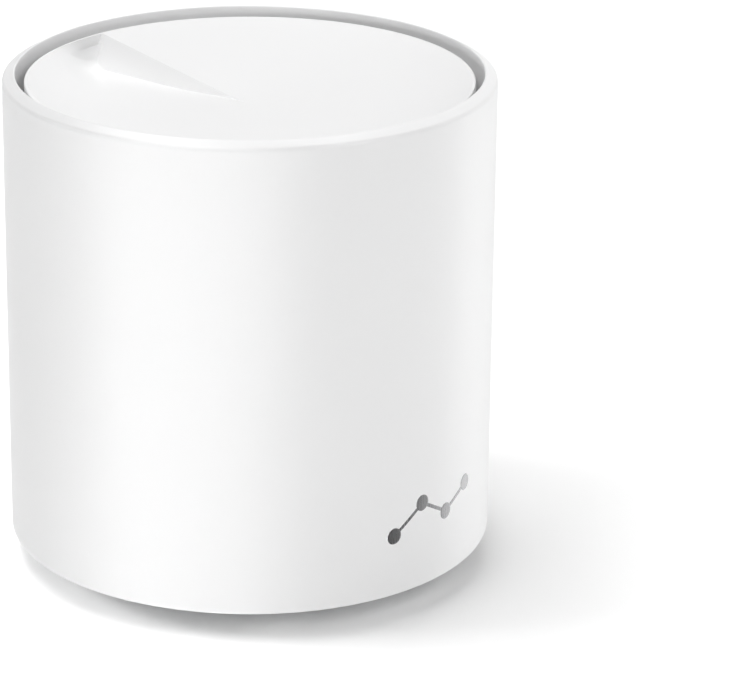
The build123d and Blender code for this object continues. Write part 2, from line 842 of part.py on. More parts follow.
# ---------------------------------------------------------------- power socket
panel_inner = panel_face - panel_wall
power_jack_face = panel_inner - 0.1
power_depth = 10.0
with BuildPart() as power_jack:
    with BuildSketch(upright(board_rear)):
        with Locations((power_jack_place, window_middle)):
            Rectangle(power_jack_width, power_jack_height)
    extrude(amount=-(power_jack_face - board_rear))
    with BuildSketch(upright(power_jack_face)):
        with Locations((power_jack_place, window_middle)):
            Circle(power_bore)
    extrude(amount=power_depth, mode=Mode.SUBTRACT)

with BuildPart() as power_pin_piece:
    with BuildSketch(upright(power_jack_face - power_depth + 0.01)):
        with Locations((power_jack_place, window_middle)):
            Circle(power_pin)
    extrude(amount=-(power_depth - 1.2))
    fillet(power_pin_piece.edges().sort_by(Axis.Y)[-1], 0.5)

with BuildPart() as power_spring:
    with BuildSketch(Plane.YZ.offset(power_jack_place - 1.0)):
        with BuildLine():
            FilletPolyline(
                (power_jack_face - power_depth + 0.02, window_middle - power_bore + 0.35),
                (power_jack_face - 5.2, window_middle - power_bore + 0.35),
                (power_jack_face - 3.6, window_middle - power_bore + 0.8),
                (power_jack_face - 2.0, window_middle - power_bore + 0.45),
                radius=0.6,
            )
        trace(line_width=0.2)
    extrude(amount=2.0)

save(power_jack.part, "power_jack")
save(power_pin_piece.part, "power_pin")
save(power_spring.part, "power_spring")

# ---------------------------------------------------------------- socket panel
tube_width = window_width - 2 * slip
tube_height = window_height - 2 * slip
tube_corner = window_corner - slip

# flange that bears on the sleeve's bore around the window
with BuildPart() as panel_rim:
    with BuildSketch(upright(outer_radius)):
        with Locations((0, window_middle)):
            RectangleRounded(
                tube_width + 2 * panel_flange, tube_height + 2 * panel_flange, tube_corner + panel_flange
            )
            RectangleRounded(
                tube_width - 0.5, tube_height - 0.5, tube_corner - 0.25, mode=Mode.SUBTRACT
            )
    extrude(amount=outer_radius - panel_inner)
    with BuildSketch(level(0)):
        Circle(sleeve_bore - 0.1)
        Circle(sleeve_bore - 1.5, mode=Mode.SUBTRACT)
    extrude(amount=overall_height, mode=Mode.INTERSECT)

with BuildPart() as socket_panel:
    # tube that lines the window, cut to the sleeve's own curve
    with BuildSketch(upright(outer_radius + 1)):
        with Locations((0, window_middle)):
            RectangleRounded(tube_width, tube_height, tube_corner)
    extrude(amount=outer_radius + 1 - panel_inner)
    with BuildSketch(upright(outer_radius + 1)):
        with Locations((0, window_middle)):
            RectangleRounded(
                tube_width - 2 * panel_wall, tube_height - 2 * panel_wall, tube_corner - panel_wall
            )
    extrude(amount=outer_radius + 1 - panel_face, taper=panel_draft, mode=Mode.SUBTRACT)
    with BuildSketch(level(0)):
        Circle(outer_radius - 0.35)
    extrude(amount=overall_height, mode=Mode.INTERSECT)
    add(panel_rim.part)
    # openings for the sockets
    with BuildSketch(upright(panel_face)):
        with Locations(*[(place, window_middle) for place in network_jack_places]):
            Rectangle(jack_width + 2 * slip, jack_height + 2 * slip)
        with Locations((power_jack_place, window_middle)):
            Circle(power_bore + 0.35)
    extrude(amount=panel_wall * 2, mode=Mode.SUBTRACT)

save(socket_panel.part, "socket_panel")

# ---------------------------------------------------------------- parts at the board's foot
foot_row = board_foot + 5.5
switch_width = 6.2
inductor_width = 6.0
transformer_width = 12.5
capacitor_radius = 3.15
row_gap = 0.9
first_transformer = reset_place + (switch_width + transformer_width) / 2 + row_gap
second_transformer = first_transformer + transformer_width + row_gap
second_capacitor = rail_inner - capacitor_radius - 4.0
first_capacitor = second_capacitor - 2 * capacitor_radius - row_gap / 2
inductor_place = reset_place - (switch_width + inductor_width) / 2 - row_gap / 3

for index, place in enumerate((first_transformer, second_transformer), start=1):
    with BuildPart() as transformer:
        with BuildSketch(upright(board_front)):
            with Locations((place, foot_row)):
                Rectangle(transformer_width, 9.5)
        extrude(amount=5.2)
        chamfer(transformer.faces().sort_by(Axis.Y)[0].edges(), 0.5)
    save(transformer.part, f"line_transformer_{index}")

with BuildPart() as capacitors:
    with BuildSketch(upright(board_front)):
        with Locations((first_capacitor, foot_row), (second_capacitor, foot_row)):
            Circle(capacitor_radius)
    extrude(amount=7.7)
    fillet(capacitors.faces().sort_by(Axis.Y)[:2].edges(), 0.5)
save(capacitors.part, "capacitors")

with BuildPart() as power_inductor:
    with BuildSketch(upright(board_front)):
        with Locations((inductor_place, foot_row)):
            RectangleRounded(inductor_width, inductor_width, 1.0)
    extrude(amount=3.2)
save(power_inductor.part, "power_inductor")

# reset switch: a hollow body at the board's foot, with a plunger that points down
switch_height = 3.6
switch_depth = 3.5
with BuildPart() as reset_switch:
    with BuildSketch(upright(board_front)):
        with Locations((reset_place, board_foot + switch_height / 2)):
            Rectangle(switch_width, switch_height)
    extrude(amount=switch_depth)
    with Locations((*reset_spot, board_foot)):
        Cylinder(
            1.0 + running,
            switch_height - 0.5,
            align=(Align.CENTER, Align.CENTER, Align.MIN),
            mode=Mode.SUBTRACT,
        )
save(reset_switch.part, "reset_switch")

with BuildPart() as switch_plunger:
    with Locations((*reset_spot, plunger_low + 0.02)):
        Cylinder(
            1.0,
            board_foot - plunger_low + switch_height - 0.5 - reset_travel - 0.2,
            align=(Align.CENTER, Align.CENTER, Align.MIN),
        )
save(switch_plunger.part, "switch_plunger")

# ---------------------------------------------------------------- status light
led_board_thick = 1.0
led_board_low = chassis_top + 0.02
led_socket_height = 2.4
with BuildPart() as led_board:
    with BuildSketch(level(led_board_low)):
        with Locations((0, -light_pipe_place + 0.5)):
            Rectangle(led_tab_width - 4, 6.0)
    extrude(amount=led_board_thick)
save(led_board.part, "led_board")

with BuildPart() as status_led:
    with BuildSketch(level(led_board_low - 0.7)):
        with Locations((0, -light_pipe_place)):
            Rectangle(2.8, 1.6)
    extrude(amount=0.68)
save(status_led.part, "status_led")

cable_radius = 0.9
cable_socket_width = 5.0
socket_place = -(rail_inner - cable_socket_width / 2 - air)
led_socket_top = led_board_low + led_board_thick + led_socket_height
led_socket_spot = (-5.0, -light_pipe_place + 0.5)
board_socket_front = board_front - 4.0
cable_height = board_foot + 3.0
cable_reach = chassis_radius - 8.0
with BuildPart() as led_cable_sockets:
    with BuildSketch(level(led_board_low + led_board_thick)):
        with Locations(led_socket_spot):
            Rectangle(cable_socket_width, 4.0)
    extrude(amount=led_socket_height)
    with BuildSketch(upright(board_front)):
        with Locations((socket_place, cable_height)):
            Rectangle(cable_socket_width, 4.0)
    extrude(amount=4.0)
save(led_cable_sockets.part, "led_cable_sockets")

led_route = (
    (led_socket_spot[0], led_socket_spot[1], led_socket_top + 0.02),
    (led_socket_spot[0], led_socket_spot[1], cable_height + 5.0),
    (*at_angle(cable_reach, 234.0), cable_height + 5.5),
    (*at_angle(cable_reach, 202.0), cable_height + 1.5),
    (socket_place, board_socket_front - 14.0, cable_height + 0.3),
    (socket_place, board_socket_front - 0.02, cable_height),
)


def lead(route, radius, bend):
    """A round lead along straight runs joined by arcs."""
    with BuildLine() as path:
        FilletPolyline(*route, radius=bend)
    with BuildPart() as tube:
        start = path.line @ 0
        with BuildSketch(Plane(origin=start, z_dir=path.line % 0)):
            Circle(radius)
        sweep(path=path.line)
    return tube.part


save(lead(led_route, cable_radius, 2.2), "led_cable")

# ---------------------------------------------------------------- antenna leads
plug_radius = 1.3
plug_height = 1.8
plug_line = board_head - 3.2
plug_side = rail_inner - 5.5
plug_places = (plug_side, plug_side / 3, -plug_side / 3, -plug_side)
lead_radius = 0.55
lead_names = ("lead_right", "lead_front_right", "lead_front_left", "lead_left")

with BuildPart() as antenna_plugs:
    with BuildSketch(upright(board_front)):
        with Locations(*[(place, plug_line) for place in plug_places]):
            Circle(plug_radius)
    extrude(amount=plug_height)
save(antenna_plugs.part, "antenna_plugs")

for name, angle, place in zip(lead_names, antenna_angles, plug_places):
    solder = at_angle(antenna_circle - lead_radius - 0.05, angle)
    turn_in = at_angle(antenna_circle - 6.0, angle)
    route = (
        (*solder, antenna_head - 16.0),
        (*solder, plug_line - 5.0),
        (*turn_in, plug_line + 0.5),
        (place * 1.03, board_front - 16.0, plug_line + 0.4),
        (place, board_front - plug_height - 0.02, plug_line),
    )
    save(lead(route, lead_radius, 2.0), name)

# ---------------------------------------------------------------- screws


def pan_head_screws(spots, height, length):
    """Pan-head screws that point up, their heads' seats at the given height."""
    with BuildPart() as fasteners:
        with Locations(*[(x, y, height) for x, y in spots]):
            Cylinder(
                screw_head_radius,
                screw_head_height,
                align=(Align.CENTER, Align.CENTER, Align.MAX),
            )
        fillet(fasteners.edges().group_by(Axis.Z)[0], 0.7)
        with Locations(*[(x, y, height) for x, y in spots]):
            Cylinder(screw_radius, length, align=(Align.CENTER, Align.CENTER, Align.MIN))
        with Locations(*[(x, y, height - screw_head_height) for x, y in spots]):
            for turn in (0, 90):
                Box(2.8, 0.55, 1.6, rotation=(0, 0, turn), mode=Mode.SUBTRACT)
    return fasteners.part


save(pan_head_screws(base_screw_spots, base_floor_low + counterbore, 8.0), "base_screws")
save(pan_head_screws(sleeve_screw_spots, flange_low, 10.0), "sleeve_screws")

with BuildPart() as heatsink_screws:
    with BuildSketch(upright(rear_sink_face + sink_plate)):
        with Locations(*sink_screw_spots):
            Circle(2.4)
    extrude(amount=-1.8)
    with BuildSketch(upright(rear_sink_face + sink_plate)):
        with Locations(*sink_screw_spots):
            Circle(1.25)
    extrude(amount=rear_sink_face + sink_plate - board_front + 4.0)
save(heatsink_screws.part, "heatsink_screws")

with BuildPart() as ring_screws:
    with Locations(*[(x, y, carrier_low + carrier_thick - 0.05) for x, y in ring_screw_spots]):
        Cylinder(ring_screw_head, 1.3, align=(Align.CENTER, Align.CENTER, Align.MIN))
        Cylinder(
            ring_screw_radius,
            carrier_thick + ring_screw_length,
            align=(Align.CENTER, Align.CENTER, Align.MAX),
        )
save(ring_screws.part, "ring_screws")
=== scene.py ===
"""Looks of an upright round wireless node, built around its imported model.

The outer sleeve, the dished top cover, the emblem and the foot ring are surfaces
worked out with numpy.  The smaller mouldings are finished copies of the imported
parts with softened edges.  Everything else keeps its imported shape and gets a
material of its own.  Lengths are in metres.
"""
import math

import bmesh
import bpy
import numpy as np
from bpy.props import FloatProperty, FloatVectorProperty, IntProperty, PointerProperty
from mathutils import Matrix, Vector


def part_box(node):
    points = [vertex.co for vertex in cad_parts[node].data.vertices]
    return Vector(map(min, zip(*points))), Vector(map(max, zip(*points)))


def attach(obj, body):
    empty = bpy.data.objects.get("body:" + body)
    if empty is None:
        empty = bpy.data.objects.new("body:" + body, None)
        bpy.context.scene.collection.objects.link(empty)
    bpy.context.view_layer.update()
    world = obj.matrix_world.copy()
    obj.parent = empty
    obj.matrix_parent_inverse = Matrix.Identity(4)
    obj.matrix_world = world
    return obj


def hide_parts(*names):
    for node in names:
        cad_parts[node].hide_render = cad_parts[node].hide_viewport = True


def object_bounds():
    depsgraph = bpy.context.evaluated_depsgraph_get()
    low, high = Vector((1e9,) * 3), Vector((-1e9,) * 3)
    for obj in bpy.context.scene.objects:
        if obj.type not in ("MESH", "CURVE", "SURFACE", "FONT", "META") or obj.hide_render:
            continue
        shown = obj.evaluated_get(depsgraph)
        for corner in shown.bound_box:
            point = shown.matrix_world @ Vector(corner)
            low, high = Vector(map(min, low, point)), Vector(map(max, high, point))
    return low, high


bl_info = {
    "name": "Wireless Node Finish",
    "version": (1, 0, 0),
    "blender": (4, 5, 0),
    "location": "3D View > Sidebar > Node",
    "description": "Builds the surfaces, materials and studio of an upright wireless node",
    "category": "Object",
}

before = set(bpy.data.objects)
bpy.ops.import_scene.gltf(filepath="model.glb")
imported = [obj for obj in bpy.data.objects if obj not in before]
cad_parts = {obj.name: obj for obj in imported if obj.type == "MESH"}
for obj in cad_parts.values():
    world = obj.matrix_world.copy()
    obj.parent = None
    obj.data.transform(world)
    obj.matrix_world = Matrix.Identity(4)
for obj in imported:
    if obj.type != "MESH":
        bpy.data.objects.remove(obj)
CAD_LOW, CAD_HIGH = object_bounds()
HOUSING = "housing"

SLEEVE_LOW, SLEEVE_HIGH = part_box("outer_sleeve")
COVER_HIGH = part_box("top_cover")[1]
PANEL_LOW, PANEL_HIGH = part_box("socket_panel")
EMBLEM_LOW, EMBLEM_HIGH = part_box("front_emblem")
FOOT_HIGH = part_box("foot_ring")[1]

MM = 0.001

# the panel's tube passes through the sleeve's window, so the window follows its size
PANEL_FLANGE = 2.0 * MM
PANEL_SLIP = 0.15 * MM  # space round the tube in the window
PANEL_TUBE = (
    PANEL_HIGH.x - PANEL_LOW.x - 2 * PANEL_FLANGE,
    PANEL_HIGH.z - PANEL_LOW.z - 2 * PANEL_FLANGE,
)
PANEL_MIDDLE = (PANEL_LOW.z + PANEL_HIGH.z) / 2

# the part of the sleeve's grid that is left out round the window
FRAME_BELOW = 4.6 * MM
FRAME_ABOVE = 5.0 * MM
FRAME_ROWS = 40
FRAME_HALF_ANGLE = 40.5  # degrees to each side of straight back
WINDOW_LIP = 0.35 * MM

SKIRT_DEPTH = 13.6 * MM
COVER_COLUMNS = 300
COVER_EDGE_ROUND = 0.35 * MM
SKIRT_ROUND = 0.2 * MM
FOLD_WALL_STEPS = 10

DOT_RADIUS = 1.9 * MM
LINK_WIDTH = 0.85 * MM
FOOT_WIDTH = 5.5 * MM

EDGE_ANGLE = math.radians(38)  # edges sharper than this are softened on a finished copy


# ------------------------------------------------------------------ settings


class ShellSizes(bpy.types.PropertyGroup):
    """Sizes of the sleeve, the cover and the emblem."""

    wall: FloatProperty(
        name="Sleeve wall", description="Thickness of the sleeve", default=2.9 * MM, unit="LENGTH"
    )
    rim_bevel: FloatProperty(
        name="Rim bevel", description="Drop of the rim to the outside", default=1.3 * MM, unit="LENGTH"
    )
    rim_round: FloatProperty(
        name="Rim round", description="Radius of the rim's outer edge", default=1.3 * MM, unit="LENGTH"
    )
    crest_round: FloatProperty(
        name="Crest round", description="Radius of the rim's inner edge", default=0.3 * MM, unit="LENGTH"
    )
    window_round: FloatProperty(
        name="Window corner", description="Corner radius of the rear window", default=5.0 * MM, unit="LENGTH"
    )
    cover_gap: FloatProperty(
        name="Cover gap", description="Open ring around the cover", default=2.0 * MM, unit="LENGTH"
    )
    cover_land: FloatProperty(
        name="Cover land", description="Level edge around the dish", default=0.8 * MM, unit="LENGTH"
    )
    cover_wall: FloatProperty(
        name="Cover wall", description="Thickness of the cover", default=2.0 * MM, unit="LENGTH"
    )
    cone_slope: FloatProperty(
        name="Dish slope", description="Fall of the dish towards its middle, per unit", default=0.141
    )
    cone_tip: FloatProperty(
        name="Dish round", description="Rounding of the dish's middle", default=1.0 * MM, unit="LENGTH"
    )
    scoop_depth: FloatProperty(
        name="Scoop depth", description="Depth on the fold's low side", default=6.8 * MM, unit="LENGTH"
    )
    scoop_lip: FloatProperty(
        name="Scoop lip", description="Width of the steep wall at the fold", default=5.5 * MM, unit="LENGTH"
    )
    fold_angle: FloatProperty(
        name="Fold direction", description="Direction of the fold", default=math.radians(86), unit="ROTATION"
    )
    fold_lean: FloatProperty(
        name="Fold lean", description="How far the fold's wall leans back for its height", default=0.72
    )
    emblem_proud: FloatProperty(
        name="Emblem height",
        description="Height of the emblem over the sleeve",
        default=0.09 * MM,
        unit="LENGTH",
    )
    columns: IntProperty(
        name="Columns", description="Faces round the sleeve", default=360, min=120, max=720
    )


class FinishColours(bpy.types.PropertyGroup):
    """Colours of the materials that show outside."""

    shell: FloatVectorProperty(
        name="Shell",
        description="White of the sleeve and cover",
        subtype="COLOR",
        default=(0.86, 0.86, 0.862),
    )
    base: FloatVectorProperty(
        name="Base", description="Grey of the base moulding", subtype="COLOR", default=(0.58, 0.585, 0.59)
    )
    panel: FloatVectorProperty(
        name="Panel", description="Grey of the socket panel", subtype="COLOR", default=(0.50, 0.505, 0.51)
    )
    foot: FloatVectorProperty(
        name="Foot", description="Grey of the rubber ring", subtype="COLOR", default=(0.16, 0.16, 0.165)
    )
    emblem: FloatVectorProperty(
        name="Emblem", description="Grey of the metal sign", subtype="COLOR", default=(0.30, 0.30, 0.305)
    )


class StageSettings(bpy.types.PropertyGroup):
    """The camera and the studio."""

    azimuth: FloatProperty(
        name="Azimuth", description="Camera direction", default=math.radians(-47.8), unit="ROTATION"
    )
    elevation: FloatProperty(
        name="Elevation", description="Camera height angle", default=math.radians(20.3), unit="ROTATION"
    )
    distance: FloatProperty(
        name="Distance", description="Camera distance", default=0.815, unit="LENGTH"
    )
    lens: FloatProperty(name="Lens", description="Focal length in millimetres", default=172.1)
    shift_x: FloatProperty(name="Shift X", description="Lens shift across", default=0.1668)
    shift_y: FloatProperty(name="Shift Y", description="Lens shift up", default=-0.0484)
    surround: FloatProperty(name="Surround", description="Brightness of the white room", default=0.15)
    screens: FloatProperty(name="Screens", description="Brightness of the reflected screens", default=6.5)
    key: FloatProperty(name="Key", description="Power of the high left light, in watts", default=6.5)
    back: FloatProperty(name="Back", description="Power of the high rear light, in watts", default=4.7)
    fill: FloatProperty(name="Fill", description="Power of the high right light, in watts", default=6.3)
    floor_front: FloatProperty(
        name="Floor front", description="Power of the floor's front light, in watts", default=3.0
    )
    floor_left: FloatProperty(
        name="Floor left", description="Power of the floor's low left light, in watts", default=10.0
    )


# ------------------------------------------------------------------ surfaces


def grid_quads(rows, columns, close_rows=False, close_columns=False):
    """Corner indices of the quads of a grid numbered row by row, as one array."""
    i = np.arange(rows if close_rows else rows - 1)
    j = np.arange(columns if close_columns else columns - 1)
    i, j = np.meshgrid(i, j, indexing="ij")
    i2, j2 = (i + 1) % rows, (j + 1) % columns
    corners = (i * columns + j, i * columns + j2, i2 * columns + j2, i2 * columns + j)
    return np.stack(corners, axis=-1).reshape(-1, 4)


def make_object(name, points, faces):
    """A new mesh object from an array of points and a list of face arrays."""
    mesh = bpy.data.meshes.new(name)
    listed = [face for block in faces for face in np.asarray(block).tolist()]
    mesh.from_pydata(np.asarray(points).reshape(-1, 3).tolist(), [], listed)
    mesh.update()
    piece = bpy.data.objects.new(name, mesh)
    bpy.context.scene.collection.objects.link(piece)
    return piece


def close_up(piece, sharp=math.radians(35), outwards=True):
    """Merges doubled points, drops collapsed faces, turns faces outwards and shades smooth."""
    work = bmesh.new()
    work.from_mesh(piece.data)
    bmesh.ops.remove_doubles(work, verts=work.verts, dist=1e-7)
    bmesh.ops.dissolve_degenerate(work, edges=work.edges, dist=1e-8)
    if outwards:
        bmesh.ops.recalc_face_normals(work, faces=work.faces)
    work.to_mesh(piece.data)
    work.free()
    piece.data.shade_smooth()
    piece.data.set_sharp_from_angle(angle=sharp)
    return piece


def rounded_outline(corners, radii, steps=8):
    """An outline with each corner replaced by an arc.

    At a corner the arc touches both sides at radius / tan(half the inner angle)
    from it, and its centre lies on the bisector.  A radius of 0 keeps the corner.
    """
    corners = np.asarray(corners, float)
    out = []
    for here, radius in enumerate(radii):
        corner = corners[here]
        before = corners[here - 1] - corner
        after = corners[(here + 1) % len(corners)] - corner
        before /= np.linalg.norm(before)
        after /= np.linalg.norm(after)
        if radius <= 0:
            out.append(corner[None])
            continue
        half = math.acos(np.clip(before @ after, -1, 1)) / 2
        bisector = (before + after) / np.linalg.norm(before + after)
        centre = corner + bisector * radius / math.sin(half)
        start = corner + before * radius / math.tan(half) - centre
        end = corner + after * radius / math.tan(half) - centre
        share = np.linspace(0, 1, steps + 1)[:, None]
        sweep = math.acos(np.clip(start @ end / radius**2, -1, 1))
        arc = (np.sin((1 - share) * sweep) * start + np.sin(share * sweep) * end) / math.sin(sweep)
        out.append(centre + arc)
    return np.concatenate(out)


def turned(radii, heights, angles):
    """Points of a profile turned about the axis: one row per profile point."""
    r, z = np.asarray(radii, float)[:, None], np.asarray(heights, float)[:, None]
    a = np.asarray(angles, float)[None]
    return np.stack(np.broadcast_arrays(r * np.cos(a), r * np.sin(a), z), axis=-1)


def full_turn(columns):
    """Evenly spaced angles once round, without repeating the first."""
    return np.arange(columns) * 2 * math.pi / columns


def rounded_box_distance(x, z, half_width, half_height, corner):
    """Signed distance from a point to a rounded rectangle's outline, negative inside."""
    qx, qz = np.abs(x) - (half_width - corner), np.abs(z) - (half_height - corner)
    outside = np.hypot(np.maximum(qx, 0), np.maximum(qz, 0))
    return outside + np.minimum(np.maximum(qx, qz), 0) - corner


def rounded_box_normal(x, z, half_width, half_height, corner):
    """Unit direction away from the same outline."""
    qx, qz = np.abs(x) - (half_width - corner), np.abs(z) - (half_height - corner)
    in_corner = (qx > 0) & (qz > 0)
    nx = np.where(in_corner, qx, np.where(qx > qz, 1.0, 0.0)) * np.sign(x)
    nz = np.where(in_corner, qz, np.where(qx > qz, 0.0, 1.0)) * np.sign(z)
    size = np.maximum(np.hypot(nx, nz), 1e-12)
    return nx / size, nz / size


def sleeve_surface(sizes):
    """The sleeve: a profile turned about the axis, with a framed window at the rear.

    The profile's points make a grid of rows and columns.  The grid's cells behind the
    window, on the outer and the inner wall, are left out.  Rings of points then run
    from that opening's frame to the rounded window, over a small round, through
    the wall and out to the frame on the inner wall.
    """
    outer = SLEEVE_HIGH.x
    bore = outer - sizes.wall
    low, high = SLEEVE_LOW.z, SLEEVE_HIGH.z
    frame_low, frame_high = PANEL_LOW.z - FRAME_BELOW, PANEL_HIGH.z + FRAME_ABOVE
    frame_z = np.linspace(frame_low, frame_high, FRAME_ROWS + 1)
    upper_z = np.linspace(frame_high, high - 6 * MM, 14)[1:]
    lower_round = rounded_outline(
        [(bore, low), (outer, low), (outer, high)], [0.15 * MM, 0.6 * MM, 0], 6
    )[:-1]
    upper_round = rounded_outline(
        [(outer, low), (outer, high - sizes.rim_bevel), (bore + 0.35 * MM, high), (bore, high), (bore, low)],
        [0, sizes.rim_round, sizes.crest_round * 2, sizes.crest_round, 0],
        10,
    )[1:-1]
    walls_out = np.concatenate([frame_z, upper_z])
    walls_in = walls_out[::-1]
    radii = np.concatenate(
        [lower_round[:, 0], np.full(len(walls_out), outer), upper_round[:, 0], np.full(len(walls_in), bore)]
    )
    heights = np.concatenate([lower_round[:, 1], walls_out, upper_round[:, 1], walls_in])
    angles = full_turn(sizes.columns)
    points = turned(radii, heights, angles)
    rows, columns = points.shape[:2]
    quads = grid_quads(rows, columns, close_rows=True, close_columns=True)

    half_frame = round(sizes.columns * FRAME_HALF_ANGLE / 360)
    middle = sizes.columns // 4
    first, last = middle - half_frame, middle + half_frame
    row_of, column_of = quads[:, 0] // columns, quads[:, 0] % columns
    outer_start = len(lower_round)
    inner_end = rows - 1
    in_frame = (column_of >= first) & (column_of < last)
    on_outer = (row_of >= outer_start) & (row_of < outer_start + FRAME_ROWS)
    on_inner = (row_of >= inner_end - FRAME_ROWS) & (row_of < inner_end)
    quads = quads[~(in_frame & (on_outer | on_inner))]

    # the frame's outline, once round: along the bottom, up, back along the top, down
    across = angles[first : last + 1]
    side_a = np.concatenate([across[:-1], np.full(FRAME_ROWS, across[-1])])
    frame_a = np.concatenate([side_a, across[:0:-1], np.full(FRAME_ROWS, across[0])])
    run = len(across) - 1
    side_h = np.concatenate([np.full(run, frame_low), frame_z[:-1]])
    frame_h = np.concatenate([side_h, np.full(run, frame_high), frame_z[:0:-1]])

    half_w, half_h = (size / 2 + PANEL_SLIP for size in PANEL_TUBE)
    corner = sizes.window_round
    frame_x, frame_dz = outer * np.cos(frame_a), frame_h - PANEL_MIDDLE
    near, far = np.zeros_like(frame_x), np.ones_like(frame_x)
    for _ in range(40):  # halving finds where the line from the middle meets the window
        mid = (near + far) / 2
        outside = rounded_box_distance(frame_x * mid, frame_dz * mid, half_w, half_h, corner) > 0
        far, near = np.where(outside, mid, far), np.where(outside, near, mid)
    edge_x, edge_z = frame_x * far, frame_dz * far
    normal_x, normal_z = rounded_box_normal(edge_x, edge_z, half_w, half_h, corner)
    lip = WINDOW_LIP

    def ring(x, dz, radius, depth=0.0):
        """One ring of points on the wall of a given radius, pushed inwards by a depth."""
        y = np.sqrt(np.maximum(radius**2 - x**2, 0)) - depth
        return np.stack([x, y, dz + PANEL_MIDDLE], axis=-1)

    shares = np.array([1.0, 0.72, 0.5, 0.32, 0.18, 0.08, 0.02])
    rings = []
    start_x, start_z = edge_x + normal_x * lip, edge_z + normal_z * lip
    for share in shares:
        angle_mix = np.arccos(start_x / outer) * (1 - share) + frame_a * share
        rings.append(ring(outer * np.cos(angle_mix), start_z * (1 - share) + frame_dz * share, outer))
    for turn in np.radians(np.linspace(0, 90, 6)):
        grow, depth = lip * (1 - math.sin(turn)), lip * (1 - math.cos(turn))
        rings.append(ring(edge_x + normal_x * grow, edge_z + normal_z * grow, outer, depth))
    rings.append(ring(edge_x, edge_z, bore))
    for share in shares[::-1]:
        angle_mix = np.arccos(edge_x / bore) * (1 - share) + frame_a * share
        rings.append(ring(bore * np.cos(angle_mix), edge_z * (1 - share) + frame_dz * share, bore))
    rings = np.stack(rings)
    ring_quads = grid_quads(len(rings), rings.shape[1], close_columns=True) + rows * columns
    points = np.concatenate([points.reshape(-1, 3), rings.reshape(-1, 3)])
    return close_up(make_object("sleeve_shell", points, [quads, ring_quads]), math.radians(40))


def smooth_rise(share):
    """Rises from 0 to 1 with level ends: 3 s^2 - 2 s^3."""
    share = np.clip(share, 0, 1)
    return share * share * (3 - 2 * share)


def dish_depth(radius, turn, sizes, dish_radius):
    """Depth of the dish below the cover's edge.

    The fold's high side is a straight cone with a round tip: its depth is a constant
    less sqrt((slope r)^2 + tip^2).  The low side is a nearly level floor whose edge
    rises as (1 - (1 - s)^2)^q, with s the share of the edge's width.  At the fold the
    width is small and q is a half, a quarter ellipse.  Turning widens it, brings q
    to one, and mixes the low side into the high side.
    """
    cone, tip = sizes.cone_slope, sizes.cone_tip
    deep = math.hypot(cone * dish_radius, tip)
    high = deep - np.sqrt((cone * radius) ** 2 + tip**2)
    middle = deep - tip
    floor = middle + (sizes.scoop_depth - middle) * smooth_rise(radius / dish_radius / 0.5)
    spread = smooth_rise(turn / 0.07)
    inward = np.clip((dish_radius - radius) / (sizes.scoop_lip * (1 + 2.4 * spread)), 0, 1)
    low = floor * (1 - (1 - inward) ** 2) ** (0.5 + 0.5 * spread)
    return low + (high - low) * smooth_rise(turn)


def cover_surface(sizes):
    """The cover: a dish that winds once round the axis and drops back at the fold.

    Each column runs from the middle outwards over the dish, the level land, the round
    edge and the skirt, and then the same way back under the cover.  The fold's wall
    joins the last column to the first, and is flat: the first column stands off by a
    fixed share of the fold's height, and the columns after it lean less and less.
    """
    radius = SLEEVE_HIGH.x - sizes.wall - sizes.cover_gap
    top, skirt_low = COVER_HIGH.z, COVER_HIGH.z - SKIRT_DEPTH
    dish_radius = radius - sizes.cover_land
    turn = np.linspace(0, 1, COVER_COLUMNS + 1)
    inner = np.linspace(0.0, 0.8, 34)
    outer = 1 - (1 - 0.8) * (1 - np.linspace(0, 1, 31)[1:]) ** 2.0
    dish_r = np.concatenate([inner, outer]) * dish_radius
    dish_z = top - dish_depth(dish_r[:, None], turn[None], sizes, dish_radius)
    wall = sizes.cover_wall
    bore = radius - wall
    edge = rounded_outline(
        [(dish_radius, top), (radius, top), (radius, skirt_low), (bore, skirt_low), (bore, top)],
        [0, COVER_EDGE_ROUND, SKIRT_ROUND, SKIRT_ROUND, 0],
        10,
    )[1:-1]
    under_r = dish_r[::-1] * bore / dish_radius
    under_z = dish_z[::-1] - wall
    radii = np.concatenate([dish_r, edge[:, 0], under_r])
    edge_z = np.broadcast_to(edge[:, 1:2], (len(edge), len(turn)))
    heights = np.concatenate([dish_z, edge_z, under_z])
    low_side, high_side = (dish_depth(dish_r, end, sizes, dish_radius) for end in (0.0, 1.0))
    fold_height = low_side - high_side
    stand_off = np.arctan2(sizes.fold_lean * fold_height, np.maximum(dish_r, 0.1 * MM))
    lean = np.concatenate([stand_off, np.zeros(len(edge)), stand_off[::-1]])
    angle = sizes.fold_angle + turn[None] * 2 * math.pi + lean[:, None] * (1 - turn[None]) ** 8
    points = np.stack([radii[:, None] * np.cos(angle), radii[:, None] * np.sin(angle), heights], axis=-1)
    rows = len(radii)
    blocks, quads, start = [points.reshape(-1, 3)], [grid_quads(rows, len(turn))], rows * len(turn)
    share = np.linspace(0, 1, FOLD_WALL_STEPS + 1)[None, :, None]

    def fold_wall(first_row, last_row):
        """Straight points between the last and the first column, over some rows."""
        low_end, high_end = points[first_row:last_row, None, 0], points[first_row:last_row, None, -1]
        return low_end * (1 - share) + high_end * share

    dish_rows = len(dish_r)
    for block in (fold_wall(0, dish_rows), fold_wall(rows - dish_rows, rows)):
        blocks.append(block.reshape(-1, 3))
        quads.append(grid_quads(*block.shape[:2])[:, ::-1] + start)
        start += block.shape[0] * block.shape[1]
    return close_up(make_object("cover_dish", np.concatenate(blocks), quads), math.radians(21))


